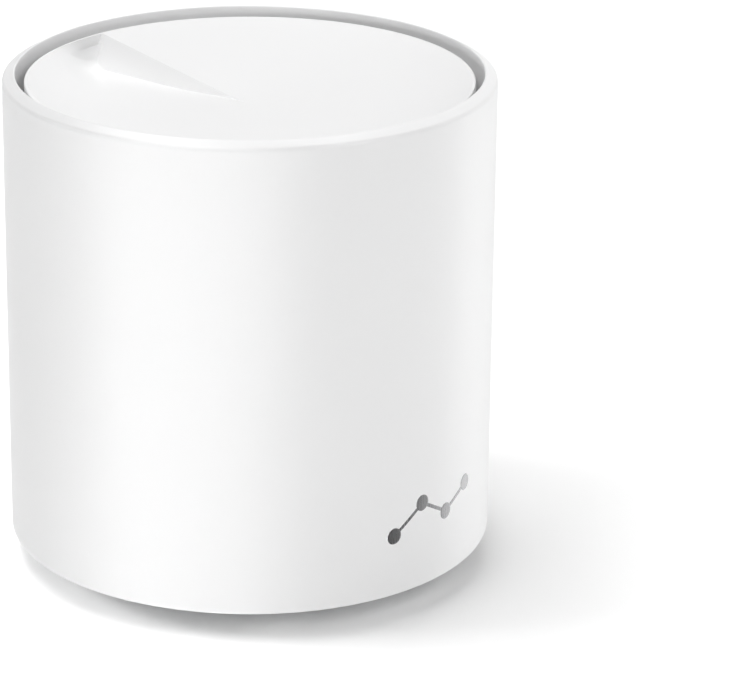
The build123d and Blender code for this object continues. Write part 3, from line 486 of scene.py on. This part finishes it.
def emblem_surface(sizes):
    """The sign on the front: dots joined by straight links, wrapped on the sleeve.

    A dot is a disc of rings and a link is a strip.  Both are worked out flat as
    (across, up, height), with the height falling to zero at a rounded edge, and are then
    bent: across becomes an angle about the axis and the height adds to the radius.
    """
    radius = SLEEVE_HIGH.x
    span = (EMBLEM_HIGH.x - EMBLEM_LOW.x) / 2
    dot = DOT_RADIUS
    reach = span - dot
    middle = (EMBLEM_LOW.z + EMBLEM_HIGH.z) / 2
    rise = (EMBLEM_HIGH.z - EMBLEM_LOW.z) / 2 - dot
    nodes = np.array(
        [(-reach, -rise), (-reach / 3, rise), (reach / 3, -rise * 0.55), (reach, rise * 0.85)]
    )
    edge = np.sin(np.radians(np.linspace(90, 0, 6)))
    shoulder = np.cos(np.radians(np.linspace(90, 0, 6)))
    blocks, quads, start = [], [], 0

    rings = np.concatenate([np.linspace(0, 0.93, 5), 0.93 + 0.07 * shoulder[1:]])
    lifts = np.concatenate([np.ones(5), edge[1:]])
    around = full_turn(48)
    for node in nodes:
        flat = np.stack(
            np.broadcast_arrays(
                node[0] + dot * rings[:, None] * np.cos(around),
                node[1] + dot * rings[:, None] * np.sin(around),
                lifts[:, None] * sizes.emblem_proud,
            ),
            axis=-1,
        )
        blocks.append(flat.reshape(-1, 3))
        quads.append(grid_quads(len(rings), len(around), close_columns=True) + start)
        start += flat.shape[0] * flat.shape[1]
    bend = 0.2 * (1 - shoulder)
    side = np.concatenate([-1 + bend[::-1], np.linspace(-0.8, 0.8, 4)[1:-1], 1 - bend])
    lift = np.concatenate([edge[::-1], np.ones(2), edge]) * 0.8
    for one, two in zip(nodes, nodes[1:]):
        along = (two - one) / np.linalg.norm(two - one)
        normal = np.array([-along[1], along[0]])
        run = np.linspace(dot * 0.9, np.linalg.norm(two - one) - dot * 0.9, 12)
        flat = one + along * run[:, None, None] + normal * (side[None, :, None] * LINK_WIDTH / 2)
        height = np.broadcast_to(lift[None, :, None] * sizes.emblem_proud, (*flat.shape[:2], 1))
        flat = np.concatenate([flat, height], axis=-1)
        blocks.append(flat.reshape(-1, 3))
        quads.append(grid_quads(*flat.shape[:2]) + start)
        start += flat.shape[0] * flat.shape[1]
    flat = np.concatenate(blocks)
    angle = -math.pi / 2 + flat[:, 0] / radius
    out = radius - 0.02 * MM + flat[:, 2]
    points = np.stack([out * np.cos(angle), out * np.sin(angle), middle + flat[:, 1]], axis=-1)
    return close_up(make_object("emblem_sign", points, quads), math.radians(60), outwards=False)


def turned_ring(name, corners, radii, columns=180, steps=6):
    """A closed outline of (radius, height) corners with rounds, turned about the axis."""
    outline = rounded_outline(corners, radii, steps)
    points = turned(outline[:, 0], outline[:, 1], full_turn(columns))
    quads = grid_quads(len(outline), columns, close_rows=True, close_columns=True)
    return close_up(make_object(name, points, [quads]))


def finished_copy(node, name, softness):
    """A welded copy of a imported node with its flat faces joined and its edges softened."""
    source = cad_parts[node].data
    mesh = bpy.data.meshes.new(name)
    work = bmesh.new()
    work.from_mesh(source)
    bmesh.ops.remove_doubles(work, verts=work.verts, dist=1e-6)
    bmesh.ops.dissolve_limit(
        work,
        angle_limit=math.radians(0.4),
        verts=work.verts,
        edges=work.edges,
        use_dissolve_boundaries=False,
    )
    work.to_mesh(mesh)
    work.free()
    mesh.shade_smooth()
    mesh.set_sharp_from_angle(angle=EDGE_ANGLE)
    piece = bpy.data.objects.new(name, mesh)
    bpy.context.scene.collection.objects.link(piece)
    bevel = piece.modifiers.new("Soft edges", "BEVEL")
    bevel.width = softness
    bevel.segments = 2
    bevel.limit_method = "ANGLE"
    bevel.angle_limit = EDGE_ANGLE
    bevel.harden_normals = True
    bevel.use_clamp_overlap = True
    return piece


# ------------------------------------------------------------------ node helpers


def add_node(tree, kind, **inputs):
    """Adds a node and sets its inputs; an underscore in a name stands for a space."""
    node = tree.nodes.new(kind)
    for key, value in inputs.items():
        node.inputs[key.replace("_", " ")].default_value = value
    return node


def mix_colours(tree, mask, one, two):
    """Mixes two colours, given as colours or as sockets, by a mask socket or a number."""
    node = tree.nodes.new("ShaderNodeMix")
    node.data_type = "RGBA"
    for socket, value in ((node.inputs[0], mask), (node.inputs[6], one), (node.inputs[7], two)):
        if isinstance(value, bpy.types.NodeSocket):
            tree.links.new(value, socket)
        elif isinstance(value, (int, float)):
            socket.default_value = value
        else:
            socket.default_value = (*value[:3], 1.0)
    return node.outputs[2]


def map_range(tree, value, low, high, from_low=0.0, from_high=1.0):
    """Maps a changing value from one range to another."""
    limits = {"From_Min": from_low, "From_Max": from_high, "To_Min": low, "To_Max": high}
    node = add_node(tree, "ShaderNodeMapRange", **limits)
    tree.links.new(value, node.inputs["Value"])
    return node.outputs["Result"]


def new_group(name, inputs, outputs):
    """An empty shader group with named float, vector or colour sockets."""
    group = bpy.data.node_groups.new(name, "ShaderNodeTree")
    for title, kind, default in inputs:
        socket = group.interface.new_socket(title, in_out="INPUT", socket_type=f"NodeSocket{kind}")
        if default is not None:
            socket.default_value = default
    for title, kind in outputs:
        group.interface.new_socket(title, in_out="OUTPUT", socket_type=f"NodeSocket{kind}")
    return group, group.nodes.new("NodeGroupInput"), group.nodes.new("NodeGroupOutput")


def group_grain():
    """Fine moulded grain: noise broken by cells, out as a height and a mask."""
    group, given, result = new_group(
        "Moulded grain",
        [("Vector", "Vector", None), ("Scale", "Float", 3000.0), ("Cells", "Float", 0.4)],
        [("Height", "Float"), ("Mask", "Float")],
    )
    link = group.links.new
    noise = add_node(group, "ShaderNodeTexNoise", Detail=3.0, Roughness=0.55)
    cells = add_node(group, "ShaderNodeTexVoronoi", Randomness=1.0)
    for texture in (noise, cells):
        link(given.outputs["Vector"], texture.inputs["Vector"])
        link(given.outputs["Scale"], texture.inputs["Scale"])
    both = group.nodes.new("ShaderNodeMix")
    both.data_type = "FLOAT"
    link(given.outputs["Cells"], both.inputs[0])
    link(noise.outputs["Fac"], both.inputs[2])
    link(cells.outputs["Distance"], both.inputs[3])
    link(both.outputs[0], result.inputs["Height"])
    spread = map_range(group, both.outputs[0], 0.0, 1.0, 0.3, 0.7)
    link(spread, result.inputs["Mask"])
    return group


def group_handling():
    """Slow change of sheen over a surface, as from moulding flow and handling."""
    group, given, result = new_group(
        "Handling",
        [("Vector", "Vector", None), ("Scale", "Float", 30.0), ("Low", "Float", 0.3), ("High", "Float", 0.4)],
        [("Roughness", "Float"), ("Mask", "Float")],
    )
    link = group.links.new
    slow = add_node(group, "ShaderNodeTexNoise", Detail=4.0, Roughness=0.6, Distortion=0.4)
    link(given.outputs["Vector"], slow.inputs["Vector"])
    link(given.outputs["Scale"], slow.inputs["Scale"])
    spread = map_range(group, slow.outputs["Fac"], 0.0, 1.0, 0.25, 0.75)
    rough = group.nodes.new("ShaderNodeMix")
    rough.data_type = "FLOAT"
    link(spread, rough.inputs[0])
    link(given.outputs["Low"], rough.inputs[2])
    link(given.outputs["High"], rough.inputs[3])
    link(rough.outputs[0], result.inputs["Roughness"])
    link(spread, result.inputs["Mask"])
    return group


def group_edges():
    """Worn or worked edges: how far the surface bends outwards, broken by noise."""
    group, given, result = new_group(
        "Worked edges",
        [("Vector", "Vector", None), ("Scale", "Float", 900.0), ("Width", "Float", 0.1)],
        [("Mask", "Float")],
    )
    link = group.links.new
    bend = group.nodes.new("ShaderNodeNewGeometry")
    noise = add_node(group, "ShaderNodeTexNoise", Detail=4.0, Roughness=0.7)
    link(given.outputs["Vector"], noise.inputs["Vector"])
    link(given.outputs["Scale"], noise.inputs["Scale"])
    ramp = add_node(group, "ShaderNodeMapRange", From_Min=0.5, To_Min=0.0, To_Max=1.0)
    reach = group.nodes.new("ShaderNodeMath")
    reach.operation = "ADD"
    reach.inputs[0].default_value = 0.5
    link(given.outputs["Width"], reach.inputs[1])
    link(reach.outputs[0], ramp.inputs["From Max"])
    link(bend.outputs["Pointiness"], ramp.inputs["Value"])
    broken = group.nodes.new("ShaderNodeMath")
    broken.operation = "MULTIPLY"
    link(ramp.outputs["Result"], broken.inputs[0])
    link(noise.outputs["Fac"], broken.inputs[1])
    link(broken.outputs[0], result.inputs["Mask"])
    return group


GROUP_MAKERS = {"Moulded grain": group_grain, "Handling": group_handling, "Worked edges": group_edges}


def use_group(tree, name, vector, **values):
    """Places a shared group in a material, making the group the first time."""
    group = bpy.data.node_groups.get(name) or GROUP_MAKERS[name]()
    node = tree.nodes.new("ShaderNodeGroup")
    node.node_tree = group
    tree.links.new(vector, node.inputs["Vector"])
    for key, value in values.items():
        node.inputs[key].default_value = value
    return node


def new_finish(name):
    """A material with its tree, its Principled shader and its Object coordinates."""
    material = bpy.data.materials.new(name)
    material.use_nodes = True
    tree = material.node_tree
    shader = tree.nodes["Principled BSDF"]
    place = tree.nodes.new("ShaderNodeTexCoord").outputs["Object"]
    return material, tree, shader, place


def add_bump(tree, shader, height, strength, distance):
    """Bumps the shader's surface by a height."""
    bump = add_node(tree, "ShaderNodeBump", Strength=strength, Distance=distance)
    tree.links.new(height, bump.inputs["Height"])
    tree.links.new(bump.outputs["Normal"], shader.inputs["Normal"])


def stretched(tree, place, scale):
    """The coordinates scaled unevenly, for grain that runs one way."""
    mapping = add_node(tree, "ShaderNodeMapping", Scale=scale)
    tree.links.new(place, mapping.inputs["Vector"])
    return mapping.outputs["Vector"]


# ------------------------------------------------------------------ materials


def moulded(name, colour, sheen=(0.3, 0.4), grain=0.0, grain_scale=3000.0, drift=0.015, cells=0.4):
    """Moulded plastic: a colour that drifts slightly, uneven sheen, and a fine grain."""
    material, tree, shader, place = new_finish(name)
    handling = use_group(tree, "Handling", place, Scale=26.0, Low=sheen[0], High=sheen[1])
    tree.links.new(handling.outputs["Roughness"], shader.inputs["Roughness"])
    darker = tuple(channel * (1 - drift) for channel in colour)
    surface = mix_colours(tree, handling.outputs["Mask"], darker, colour)
    fine = use_group(tree, "Moulded grain", place, Scale=grain_scale, Cells=cells)
    fleck = tuple(channel * (1 - drift * 1.5) for channel in colour)
    pale = map_range(tree, fine.outputs["Mask"], 0.0, 0.35)
    tree.links.new(mix_colours(tree, pale, surface, fleck), shader.inputs["Base Color"])
    add_bump(tree, shader, fine.outputs["Height"], grain, 0.00003)
    return material


def metal(name, colour, rough=(0.25, 0.4), scale=(60, 60, 60), edge=0.15, bump=0.1):
    """Metal: streaks or mottle that follow a stretched noise, with brighter worked edges."""
    material, tree, shader, place = new_finish(name)
    shader.inputs["Metallic"].default_value = 1.0
    streaks = add_node(tree, "ShaderNodeTexNoise", Scale=1.0, Detail=5.0, Roughness=0.6)
    tree.links.new(stretched(tree, place, scale), streaks.inputs["Vector"])
    sheen = map_range(tree, streaks.outputs["Fac"], rough[0], rough[1], 0.3, 0.7)
    tree.links.new(sheen, shader.inputs["Roughness"])
    darker = tuple(channel * 0.86 for channel in colour)
    surface = mix_colours(tree, streaks.outputs["Fac"], darker, colour)
    worn = use_group(tree, "Worked edges", place, Scale=1200.0, Width=edge)
    brighter = tuple(min(1.0, channel * 1.15 + 0.03) for channel in colour)
    tree.links.new(mix_colours(tree, worn.outputs["Mask"], surface, brighter), shader.inputs["Base Color"])
    add_bump(tree, shader, streaks.outputs["Fac"], bump, 0.00002)
    return material


def shell_white(colours):
    """Smooth satin white moulding with the faintest flow marks."""
    material = moulded("shell_white", tuple(colours.shell), (0.285, 0.315), 0.02, 2600.0, 0.002, 0.1)
    material.node_tree.nodes["Principled BSDF"].inputs["IOR"].default_value = 1.49
    return material


def emblem_metal(colours):
    """Grey satin metal with a fine upright brushing."""
    return metal("emblem_metal", tuple(colours.emblem), (0.2, 0.36), (2600, 2600, 90), 0.05, 0.08)


def circuit_board():
    """Green solder mask over pale tracks, with small bare pads in between."""
    material, tree, shader, place = new_finish("board_green")
    tracks = add_node(tree, "ShaderNodeTexBrick", Scale=210.0, Mortar_Size=0.045, Bias=0.0)
    tracks.offset = 0.5
    turn = add_node(tree, "ShaderNodeMapping", Rotation=(math.radians(90), 0.0, 0.0))
    tree.links.new(place, turn.inputs["Vector"])
    tree.links.new(turn.outputs["Vector"], tracks.inputs["Vector"])
    for key, value in (("Color1", 0.35), ("Color2", 0.6), ("Mortar", 1.0)):
        tracks.inputs[key].default_value = (value, value, value, 1.0)
    green = mix_colours(tree, tracks.outputs["Color"], (0.006, 0.085, 0.035), (0.02, 0.19, 0.085))
    holes = add_node(tree, "ShaderNodeTexVoronoi", Scale=380.0, Randomness=0.9)
    tree.links.new(place, holes.inputs["Vector"])
    pad = map_range(tree, holes.outputs["Distance"], 1.0, 0.0, 0.16, 0.2)
    surface = mix_colours(tree, pad, green, (0.75, 0.62, 0.32))
    tree.links.new(surface, shader.inputs["Base Color"])
    tree.links.new(map_range(tree, pad, 0.0, 1.0), shader.inputs["Metallic"])
    handling = use_group(tree, "Handling", place, Scale=60.0, Low=0.25, High=0.42)
    tree.links.new(handling.outputs["Roughness"], shader.inputs["Roughness"])
    add_bump(tree, shader, tracks.outputs["Fac"], 0.2, 0.00003)
    return material


def frosted_guide():
    """Frosted clear plastic that carries the status light."""
    material, tree, shader, place = new_finish("frosted_guide")
    shader.inputs["Transmission Weight"].default_value = 0.85
    handling = use_group(tree, "Handling", place, Scale=400.0, Low=0.28, High=0.46)
    tree.links.new(handling.outputs["Roughness"], shader.inputs["Roughness"])
    surface = mix_colours(tree, handling.outputs["Mask"], (0.86, 0.9, 0.93), (0.94, 0.96, 0.97))
    tree.links.new(surface, shader.inputs["Base Color"])
    return material


def blank_label():
    """Silver-grey film with a fine paler grain and no print."""
    material, tree, shader, place = new_finish("blank_label")
    fine = use_group(tree, "Moulded grain", place, Scale=5200.0, Cells=0.2)
    surface = mix_colours(tree, fine.outputs["Mask"], (0.52, 0.525, 0.53), (0.6, 0.605, 0.61))
    tree.links.new(surface, shader.inputs["Base Color"])
    handling = use_group(tree, "Handling", place, Scale=90.0, Low=0.3, High=0.45)
    tree.links.new(handling.outputs["Roughness"], shader.inputs["Roughness"])
    add_bump(tree, shader, fine.outputs["Height"], 0.06, 0.00002)
    return material


def finishes(colours):
    """Every material of the node, by name."""
    return {
        "shell": shell_white(colours),
        "emblem": emblem_metal(colours),
        "base": moulded("base_grey", tuple(colours.base), (0.45, 0.58), 0.35, 2600.0, 0.03),
        "panel": moulded("panel_grey", tuple(colours.panel), (0.42, 0.55), 0.4, 2400.0, 0.03),
        "rubber": moulded("foot_rubber", tuple(colours.foot), (0.62, 0.8), 0.5, 1800.0, 0.12, 0.7),
        "label": blank_label(),
        "guide": frosted_guide(),
        "button": moulded("button_grey", (0.34, 0.345, 0.36), (0.35, 0.5), 0.25, 3200.0, 0.05),
        "frame": moulded("frame_black", (0.022, 0.022, 0.024), (0.42, 0.6), 0.45, 2200.0, 0.25),
        "socket": moulded("socket_black", (0.016, 0.016, 0.017), (0.32, 0.46), 0.25, 2800.0, 0.25),
        "gold": metal("contact_gold", (0.86, 0.62, 0.25), (0.18, 0.3), (900, 900, 200)),
        "nickel": metal("contact_nickel", (0.7, 0.69, 0.66), (0.2, 0.34), (700, 700, 700)),
        "board": circuit_board(),
        "chip": moulded("chip_black", (0.02, 0.02, 0.021), (0.5, 0.68), 0.5, 3600.0, 0.3, 0.6),
        "tin": metal("shield_tin", (0.62, 0.61, 0.58), (0.28, 0.46), (160, 160, 420)),
        "pad": moulded("pad_silicone", (0.28, 0.36, 0.4), (0.7, 0.85), 0.6, 1500.0, 0.1, 0.8),
        "sink": metal("sink_aluminium", (0.72, 0.73, 0.74), (0.42, 0.56), (2600, 2600, 2600), 0.2, 0.35),
        "screw": metal("screw_zinc", (0.6, 0.6, 0.59), (0.24, 0.38), (1400, 1400, 1400), 0.2),
        "lead": moulded("lead_black", (0.02, 0.02, 0.02), (0.4, 0.55), 0.3, 2600.0, 0.2),
        "cable": moulded("cable_grey", (0.3, 0.3, 0.31), (0.45, 0.6), 0.3, 2200.0, 0.08),
        "can": metal("capacitor_sleeve", (0.45, 0.46, 0.5), (0.3, 0.45), (500, 500, 2200), 0.15),
        "ferrite": moulded("ferrite_grey", (0.06, 0.06, 0.065), (0.6, 0.75), 0.55, 2000.0, 0.2, 0.7),
        "led": frosted_led(),
    }


def frosted_led():
    """Pale clear resin over the status light's chip."""
    material, tree, shader, place = new_finish("led_resin")
    shader.inputs["Transmission Weight"].default_value = 0.6
    fine = use_group(tree, "Moulded grain", place, Scale=4000.0, Cells=0.2)
    surface = mix_colours(tree, fine.outputs["Mask"], (0.9, 0.86, 0.55), (0.95, 0.93, 0.72))
    tree.links.new(surface, shader.inputs["Base Color"])
    handling = use_group(tree, "Handling", place, Scale=900.0, Low=0.15, High=0.3)
    tree.links.new(handling.outputs["Roughness"], shader.inputs["Roughness"])
    return material


FINISHES = {}


def finish_of(context, name):
    """A material by name; all are made the first time one is asked for."""
    if not FINISHES:
        FINISHES.update(finishes(context.scene.node_colours))
    return FINISHES[name]


def cover_with(piece, material):
    """Gives a piece one material in all its slots."""
    piece.data.materials.clear()
    piece.data.materials.append(material)


def fit_piece(context, piece, finish, node):
    """Finishes a new piece of the housing: its material and the node it replaces."""
    cover_with(piece, finish_of(context, finish))
    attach(piece, HOUSING)
    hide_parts(node)


def finish_nodes(context, finish, *names):
    """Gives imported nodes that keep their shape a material."""
    for name in names:
        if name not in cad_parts:
            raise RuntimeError(f"no packed node is named {name}")
        cover_with(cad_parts[name], finish_of(context, finish))


# ------------------------------------------------------------------ the studio

# brightness of the reflected room once round, in equal steps from behind the object
ROOM_GLOW = (0.12, 0.11, 0.07, 0.3, 1.0, 0.93, 0.63, 0.02, 0.02, 0.11, 0.34, 0.2, 0.12)


def aim(thing, place, target):
    """Puts an object at a place, looking at a target with its -Z axis."""
    thing.location = place
    thing.rotation_mode = "QUATERNION"
    thing.rotation_quaternion = (Vector(target) - Vector(place)).to_track_quat("-Z", "Y")


def add_lamp(name, place, target, width, height, power):
    """A rectangular soft light."""
    data = bpy.data.lights.new(name, "AREA")
    data.shape = "RECTANGLE"
    data.size, data.size_y = width, height
    data.energy = power
    lamp = bpy.data.objects.new(name, data)
    bpy.context.scene.collection.objects.link(lamp)
    aim(lamp, place, target)
    return lamp


class NODE_OT_stage(bpy.types.Operator):
    """Build the camera, the pale floor and the soft studio light"""

    bl_idname = "node.stage"
    bl_label = "Studio"

    def execute(self, context):
        stage = context.scene.node_stage
        context.scene.view_settings.view_transform = "Standard"
        a, e = stage.azimuth, stage.elevation
        middle = Vector((0, 0, CAD_HIGH.z / 2))
        back = Vector((math.sin(a) * math.cos(e), -math.cos(a) * math.cos(e), math.sin(e)))
        data = bpy.data.cameras.new("camera")
        data.sensor_width = 36
        data.lens = stage.lens
        data.shift_x, data.shift_y = stage.shift_x, stage.shift_y
        data.clip_start, data.clip_end = 0.01, 50
        camera = bpy.data.objects.new("camera", data)
        context.scene.collection.objects.link(camera)
        aim(camera, middle + back * stage.distance, middle)
        context.scene.camera = camera
        floor = self.floor()
        right = Vector((math.cos(a), math.sin(a), 0))
        front = Vector((math.sin(a), -math.cos(a), 0))
        up = Vector((0, 0, 1))
        floor_only = bpy.data.collections.new("floor only")
        floor_only.objects.link(floor)
        for name, place, width, height, power, lit in (
            ("key", up * 1.05 - right * 0.35, 1.2, 0.4, stage.key, None),
            ("back", up * 1.1 - front * 0.6, 0.8, 0.8, stage.back, None),
            ("fill", up * 0.8 + right * 0.9 + front * 0.7, 0.8, 0.8, stage.fill, None),
            ("floor_front", up * 0.5 + front, 0.6, 0.5, stage.floor_front, floor_only),
            ("floor_left", up * 0.5 - right * 1.1, 0.6, 0.3, stage.floor_left, floor_only),
        ):
            lamp = add_lamp(name, middle + place, middle, width, height, power)
            if lit is not None:
                lamp.light_linking.receiver_collection = lit
        self.white_room(context.scene, stage)
        return {"FINISHED"}

    def white_room(self, scene, stage):
        """An even white room whose glossy reflections see two tall bright screens.

        The ramp goes once round the room from behind the object.  Its middle is the
        front, and the broad screen stands just left of that.
        """
        world = bpy.data.worlds.new("white room")
        scene.world = world
        world.use_nodes = True
        tree = world.node_tree
        even = tree.nodes["Background"]
        even.inputs["Color"].default_value = (1, 1, 1, 1)
        even.inputs["Strength"].default_value = stage.surround
        screens = add_node(tree, "ShaderNodeBackground", Strength=stage.screens)
        backdrop = add_node(tree, "ShaderNodeBackground", Color=(1, 1, 1, 1), Strength=1.0)
        coords = tree.nodes.new("ShaderNodeTexCoord")
        turn = add_node(tree, "ShaderNodeMapping", Rotation=(0.0, 0.0, math.radians(90) - stage.azimuth))
        around = tree.nodes.new("ShaderNodeTexGradient")
        around.gradient_type = "RADIAL"
        ramp = tree.nodes.new("ShaderNodeValToRGB")
        stops = ramp.color_ramp.elements
        places = np.linspace(0, 1, len(ROOM_GLOW)).tolist()
        for place in places[1:-1]:
            stops.new(place)
        for stop, place, glow in zip(stops, places, ROOM_GLOW):
            stop.position = place
            stop.color = (glow, glow, glow, 1.0)
        rays = tree.nodes.new("ShaderNodeLightPath")
        glossy, seen = tree.nodes.new("ShaderNodeMixShader"), tree.nodes.new("ShaderNodeMixShader")
        link = tree.links.new
        link(coords.outputs["Generated"], turn.inputs["Vector"])
        link(turn.outputs["Vector"], around.inputs["Vector"])
        link(around.outputs["Fac"], ramp.inputs["Fac"])
        link(ramp.outputs["Color"], screens.inputs["Color"])
        for mixer, ray, one, two in (
            (glossy, "Is Glossy Ray", even, screens),
            (seen, "Is Camera Ray", glossy, backdrop),
        ):
            link(rays.outputs[ray], mixer.inputs["Fac"])
            link(one.outputs[0], mixer.inputs[1])
            link(two.outputs[0], mixer.inputs[2])
        link(seen.outputs[0], tree.nodes["World Output"].inputs["Surface"])

    def floor(self):
        """A plain pale floor: a flat disc of rings."""
        far = np.array([0.0, 0.2, 0.6, 1.2, 2.0, 3.0, 4.0])
        points = turned(far, np.zeros_like(far), full_turn(96))
        quads = grid_quads(len(far), 96, close_columns=True)
        floor = close_up(make_object("floor", points, [quads]), outwards=False)
        material, tree, shader, place = new_finish("floor_pale")
        handling = use_group(tree, "Handling", place, Scale=3.0, Low=0.7, High=0.8)
        tree.links.new(handling.outputs["Roughness"], shader.inputs["Roughness"])
        tree.links.new(
            mix_colours(tree, handling.outputs["Mask"], (0.93, 0.93, 0.93), (0.95, 0.95, 0.95)),
            shader.inputs["Base Color"],
        )
        cover_with(floor, material)
        floor.visible_glossy = False
        return floor


# ------------------------------------------------------------------ the pieces


class NODE_OT_sleeve(bpy.types.Operator):
    """Build the outer sleeve with its bevelled rim and rear window"""

    bl_idname = "node.sleeve"
    bl_label = "Outer sleeve"

    def execute(self, context):
        fit_piece(context, sleeve_surface(context.scene.node_shell), "shell", "outer_sleeve")
        return {"FINISHED"}


class NODE_OT_cover(bpy.types.Operator):
    """Build the dished top cover with its fold"""

    bl_idname = "node.cover"
    bl_label = "Top cover"

    def execute(self, context):
        fit_piece(context, cover_surface(context.scene.node_shell), "shell", "top_cover")
        return {"FINISHED"}


class NODE_OT_emblem(bpy.types.Operator):
    """Build the metal sign on the front"""

    bl_idname = "node.emblem"
    bl_label = "Emblem"

    def execute(self, context):
        fit_piece(context, emblem_surface(context.scene.node_shell), "emblem", "front_emblem")
        return {"FINISHED"}


class NODE_OT_base(bpy.types.Operator):
    """Finish the base moulding, its rubber ring, label, light guide and screws"""

    bl_idname = "node.base"
    bl_label = "Base"

    def execute(self, context):
        base = finished_copy("base_cover", "base_moulding", 0.12 * MM)
        fit_piece(context, base, "base", "base_cover")
        outer, inner = FOOT_HIGH.x, FOOT_HIGH.x - FOOT_WIDTH
        ring = turned_ring(
            "rubber_ring",
            [(inner, 0), (outer, 0), (outer, FOOT_HIGH.z), (inner, FOOT_HIGH.z)],
            [0.5 * MM, 0.5 * MM, 0.1 * MM, 0.1 * MM],
        )
        fit_piece(context, ring, "rubber", "foot_ring")
        finish_nodes(context, "label", "rating_label")
        finish_nodes(context, "guide", "light_pipe")
        finish_nodes(context, "screw", "base_screws", "sleeve_screws")
        return {"FINISHED"}


class NODE_OT_button(bpy.types.Operator):
    """Finish the reset button and the switch that it works"""

    bl_idname = "node.button"
    bl_label = "Reset button"

    def execute(self, context):
        finish_nodes(context, "button", "reset_button", "switch_plunger")
        finish_nodes(context, "socket", "reset_switch")
        return {"FINISHED"}


class NODE_OT_sockets(bpy.types.Operator):
    """Finish the recessed panel and its network and power sockets"""

    bl_idname = "node.sockets"
    bl_label = "Sockets"

    def execute(self, context):
        panel = finished_copy("socket_panel", "panel_moulding", 0.15 * MM)
        fit_piece(context, panel, "panel", "socket_panel")
        for index in (1, 2):
            jack = finished_copy(f"network_jack_{index}", f"network_socket_{index}", 0.1 * MM)
            fit_piece(context, jack, "socket", f"network_jack_{index}")
            finish_nodes(context, "gold", f"network_contacts_{index}")
        power = finished_copy("power_jack", "power_socket", 0.12 * MM)
        fit_piece(context, power, "socket", "power_jack")
        finish_nodes(context, "nickel", "power_pin", "power_spring")
        return {"FINISHED"}


class NODE_OT_inner_frame(bpy.types.Operator):
    """Finish the chassis, the antenna ring and their screws"""

    bl_idname = "node.inner_frame"
    bl_label = "Inner frame"

    def execute(self, context):
        chassis = finished_copy("chassis", "chassis_moulding", 0.15 * MM)
        fit_piece(context, chassis, "frame", "chassis")
        ring = finished_copy("antenna_ring", "antenna_ring_moulding", 0.15 * MM)
        fit_piece(context, ring, "frame", "antenna_ring")
        finish_nodes(context, "screw", "ring_screws", "heatsink_screws")
        return {"FINISHED"}


class NODE_OT_electronics(bpy.types.Operator):
    """Finish the circuit board and everything on it"""

    bl_idname = "node.electronics"
    bl_label = "Electronics"

    def execute(self, context):
        finish_nodes(context, "board", "main_board", "led_board")
        chips = [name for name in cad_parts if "chip" in name]
        finish_nodes(context, "chip", *chips, "line_transformer_1", "line_transformer_2")
        finish_nodes(context, "ferrite", "power_inductor")
        finish_nodes(context, "can", "capacitors")
        finish_nodes(context, "tin", "processor_shield", "radio_shield")
        finish_nodes(context, "pad", "processor_pad", "radio_pad", "switch_pad")
        finish_nodes(context, "socket", "led_cable_sockets")
        finish_nodes(context, "led", "status_led")
        finish_nodes(context, "cable", "led_cable")
        for node, name in (("front_heatsink", "front_fins"), ("rear_heatsink", "rear_fins")):
            fins = finished_copy(node, name, 0.12 * MM)
            fit_piece(context, fins, "sink", node)
        return {"FINISHED"}


class NODE_OT_antennas(bpy.types.Operator):
    """Finish the antenna boards, their leads and plugs"""

    bl_idname = "node.antennas"
    bl_label = "Antennas"

    def execute(self, context):
        sides = ("right", "front_right", "front_left", "left")
        finish_nodes(context, "board", *[f"antenna_{side}" for side in sides])
        finish_nodes(context, "lead", *[f"lead_{side}" for side in sides])
        finish_nodes(context, "gold", "antenna_plugs")
        return {"FINISHED"}


class NODE_PT_panel(bpy.types.Panel):
    """Lists the steps that build the node"""

    bl_label = "Wireless node"
    bl_idname = "NODE_PT_panel"
    bl_space_type = "VIEW_3D"
    bl_region_type = "UI"
    bl_category = "Node"

    def draw(self, context):
        for settings in (context.scene.node_shell, context.scene.node_colours, context.scene.node_stage):
            box = self.layout.box()
            for name in settings.__annotations__:
                box.prop(settings, name)
        for step in STEPS:
            self.layout.operator(step.bl_idname)


STEPS = (
    NODE_OT_stage,
    NODE_OT_sleeve,
    NODE_OT_cover,
    NODE_OT_emblem,
    NODE_OT_base,
    NODE_OT_button,
    NODE_OT_sockets,
    NODE_OT_inner_frame,
    NODE_OT_electronics,
    NODE_OT_antennas,
)
SETTINGS = {"node_shell": ShellSizes, "node_colours": FinishColours, "node_stage": StageSettings}


def register():
    for cls in (*SETTINGS.values(), *STEPS, NODE_PT_panel):
        bpy.utils.register_class(cls)
    for name, cls in SETTINGS.items():
        setattr(bpy.types.Scene, name, PointerProperty(type=cls))


def unregister():
    for name in SETTINGS:
        delattr(bpy.types.Scene, name)
    for cls in reversed((*SETTINGS.values(), *STEPS, NODE_PT_panel)):
        bpy.utils.unregister_class(cls)


def main():
    register()
    for step in STEPS:
        area, name = step.bl_idname.split(".")
        getattr(getattr(bpy.ops, area), name)()


if __name__ == "__main__":
    main()
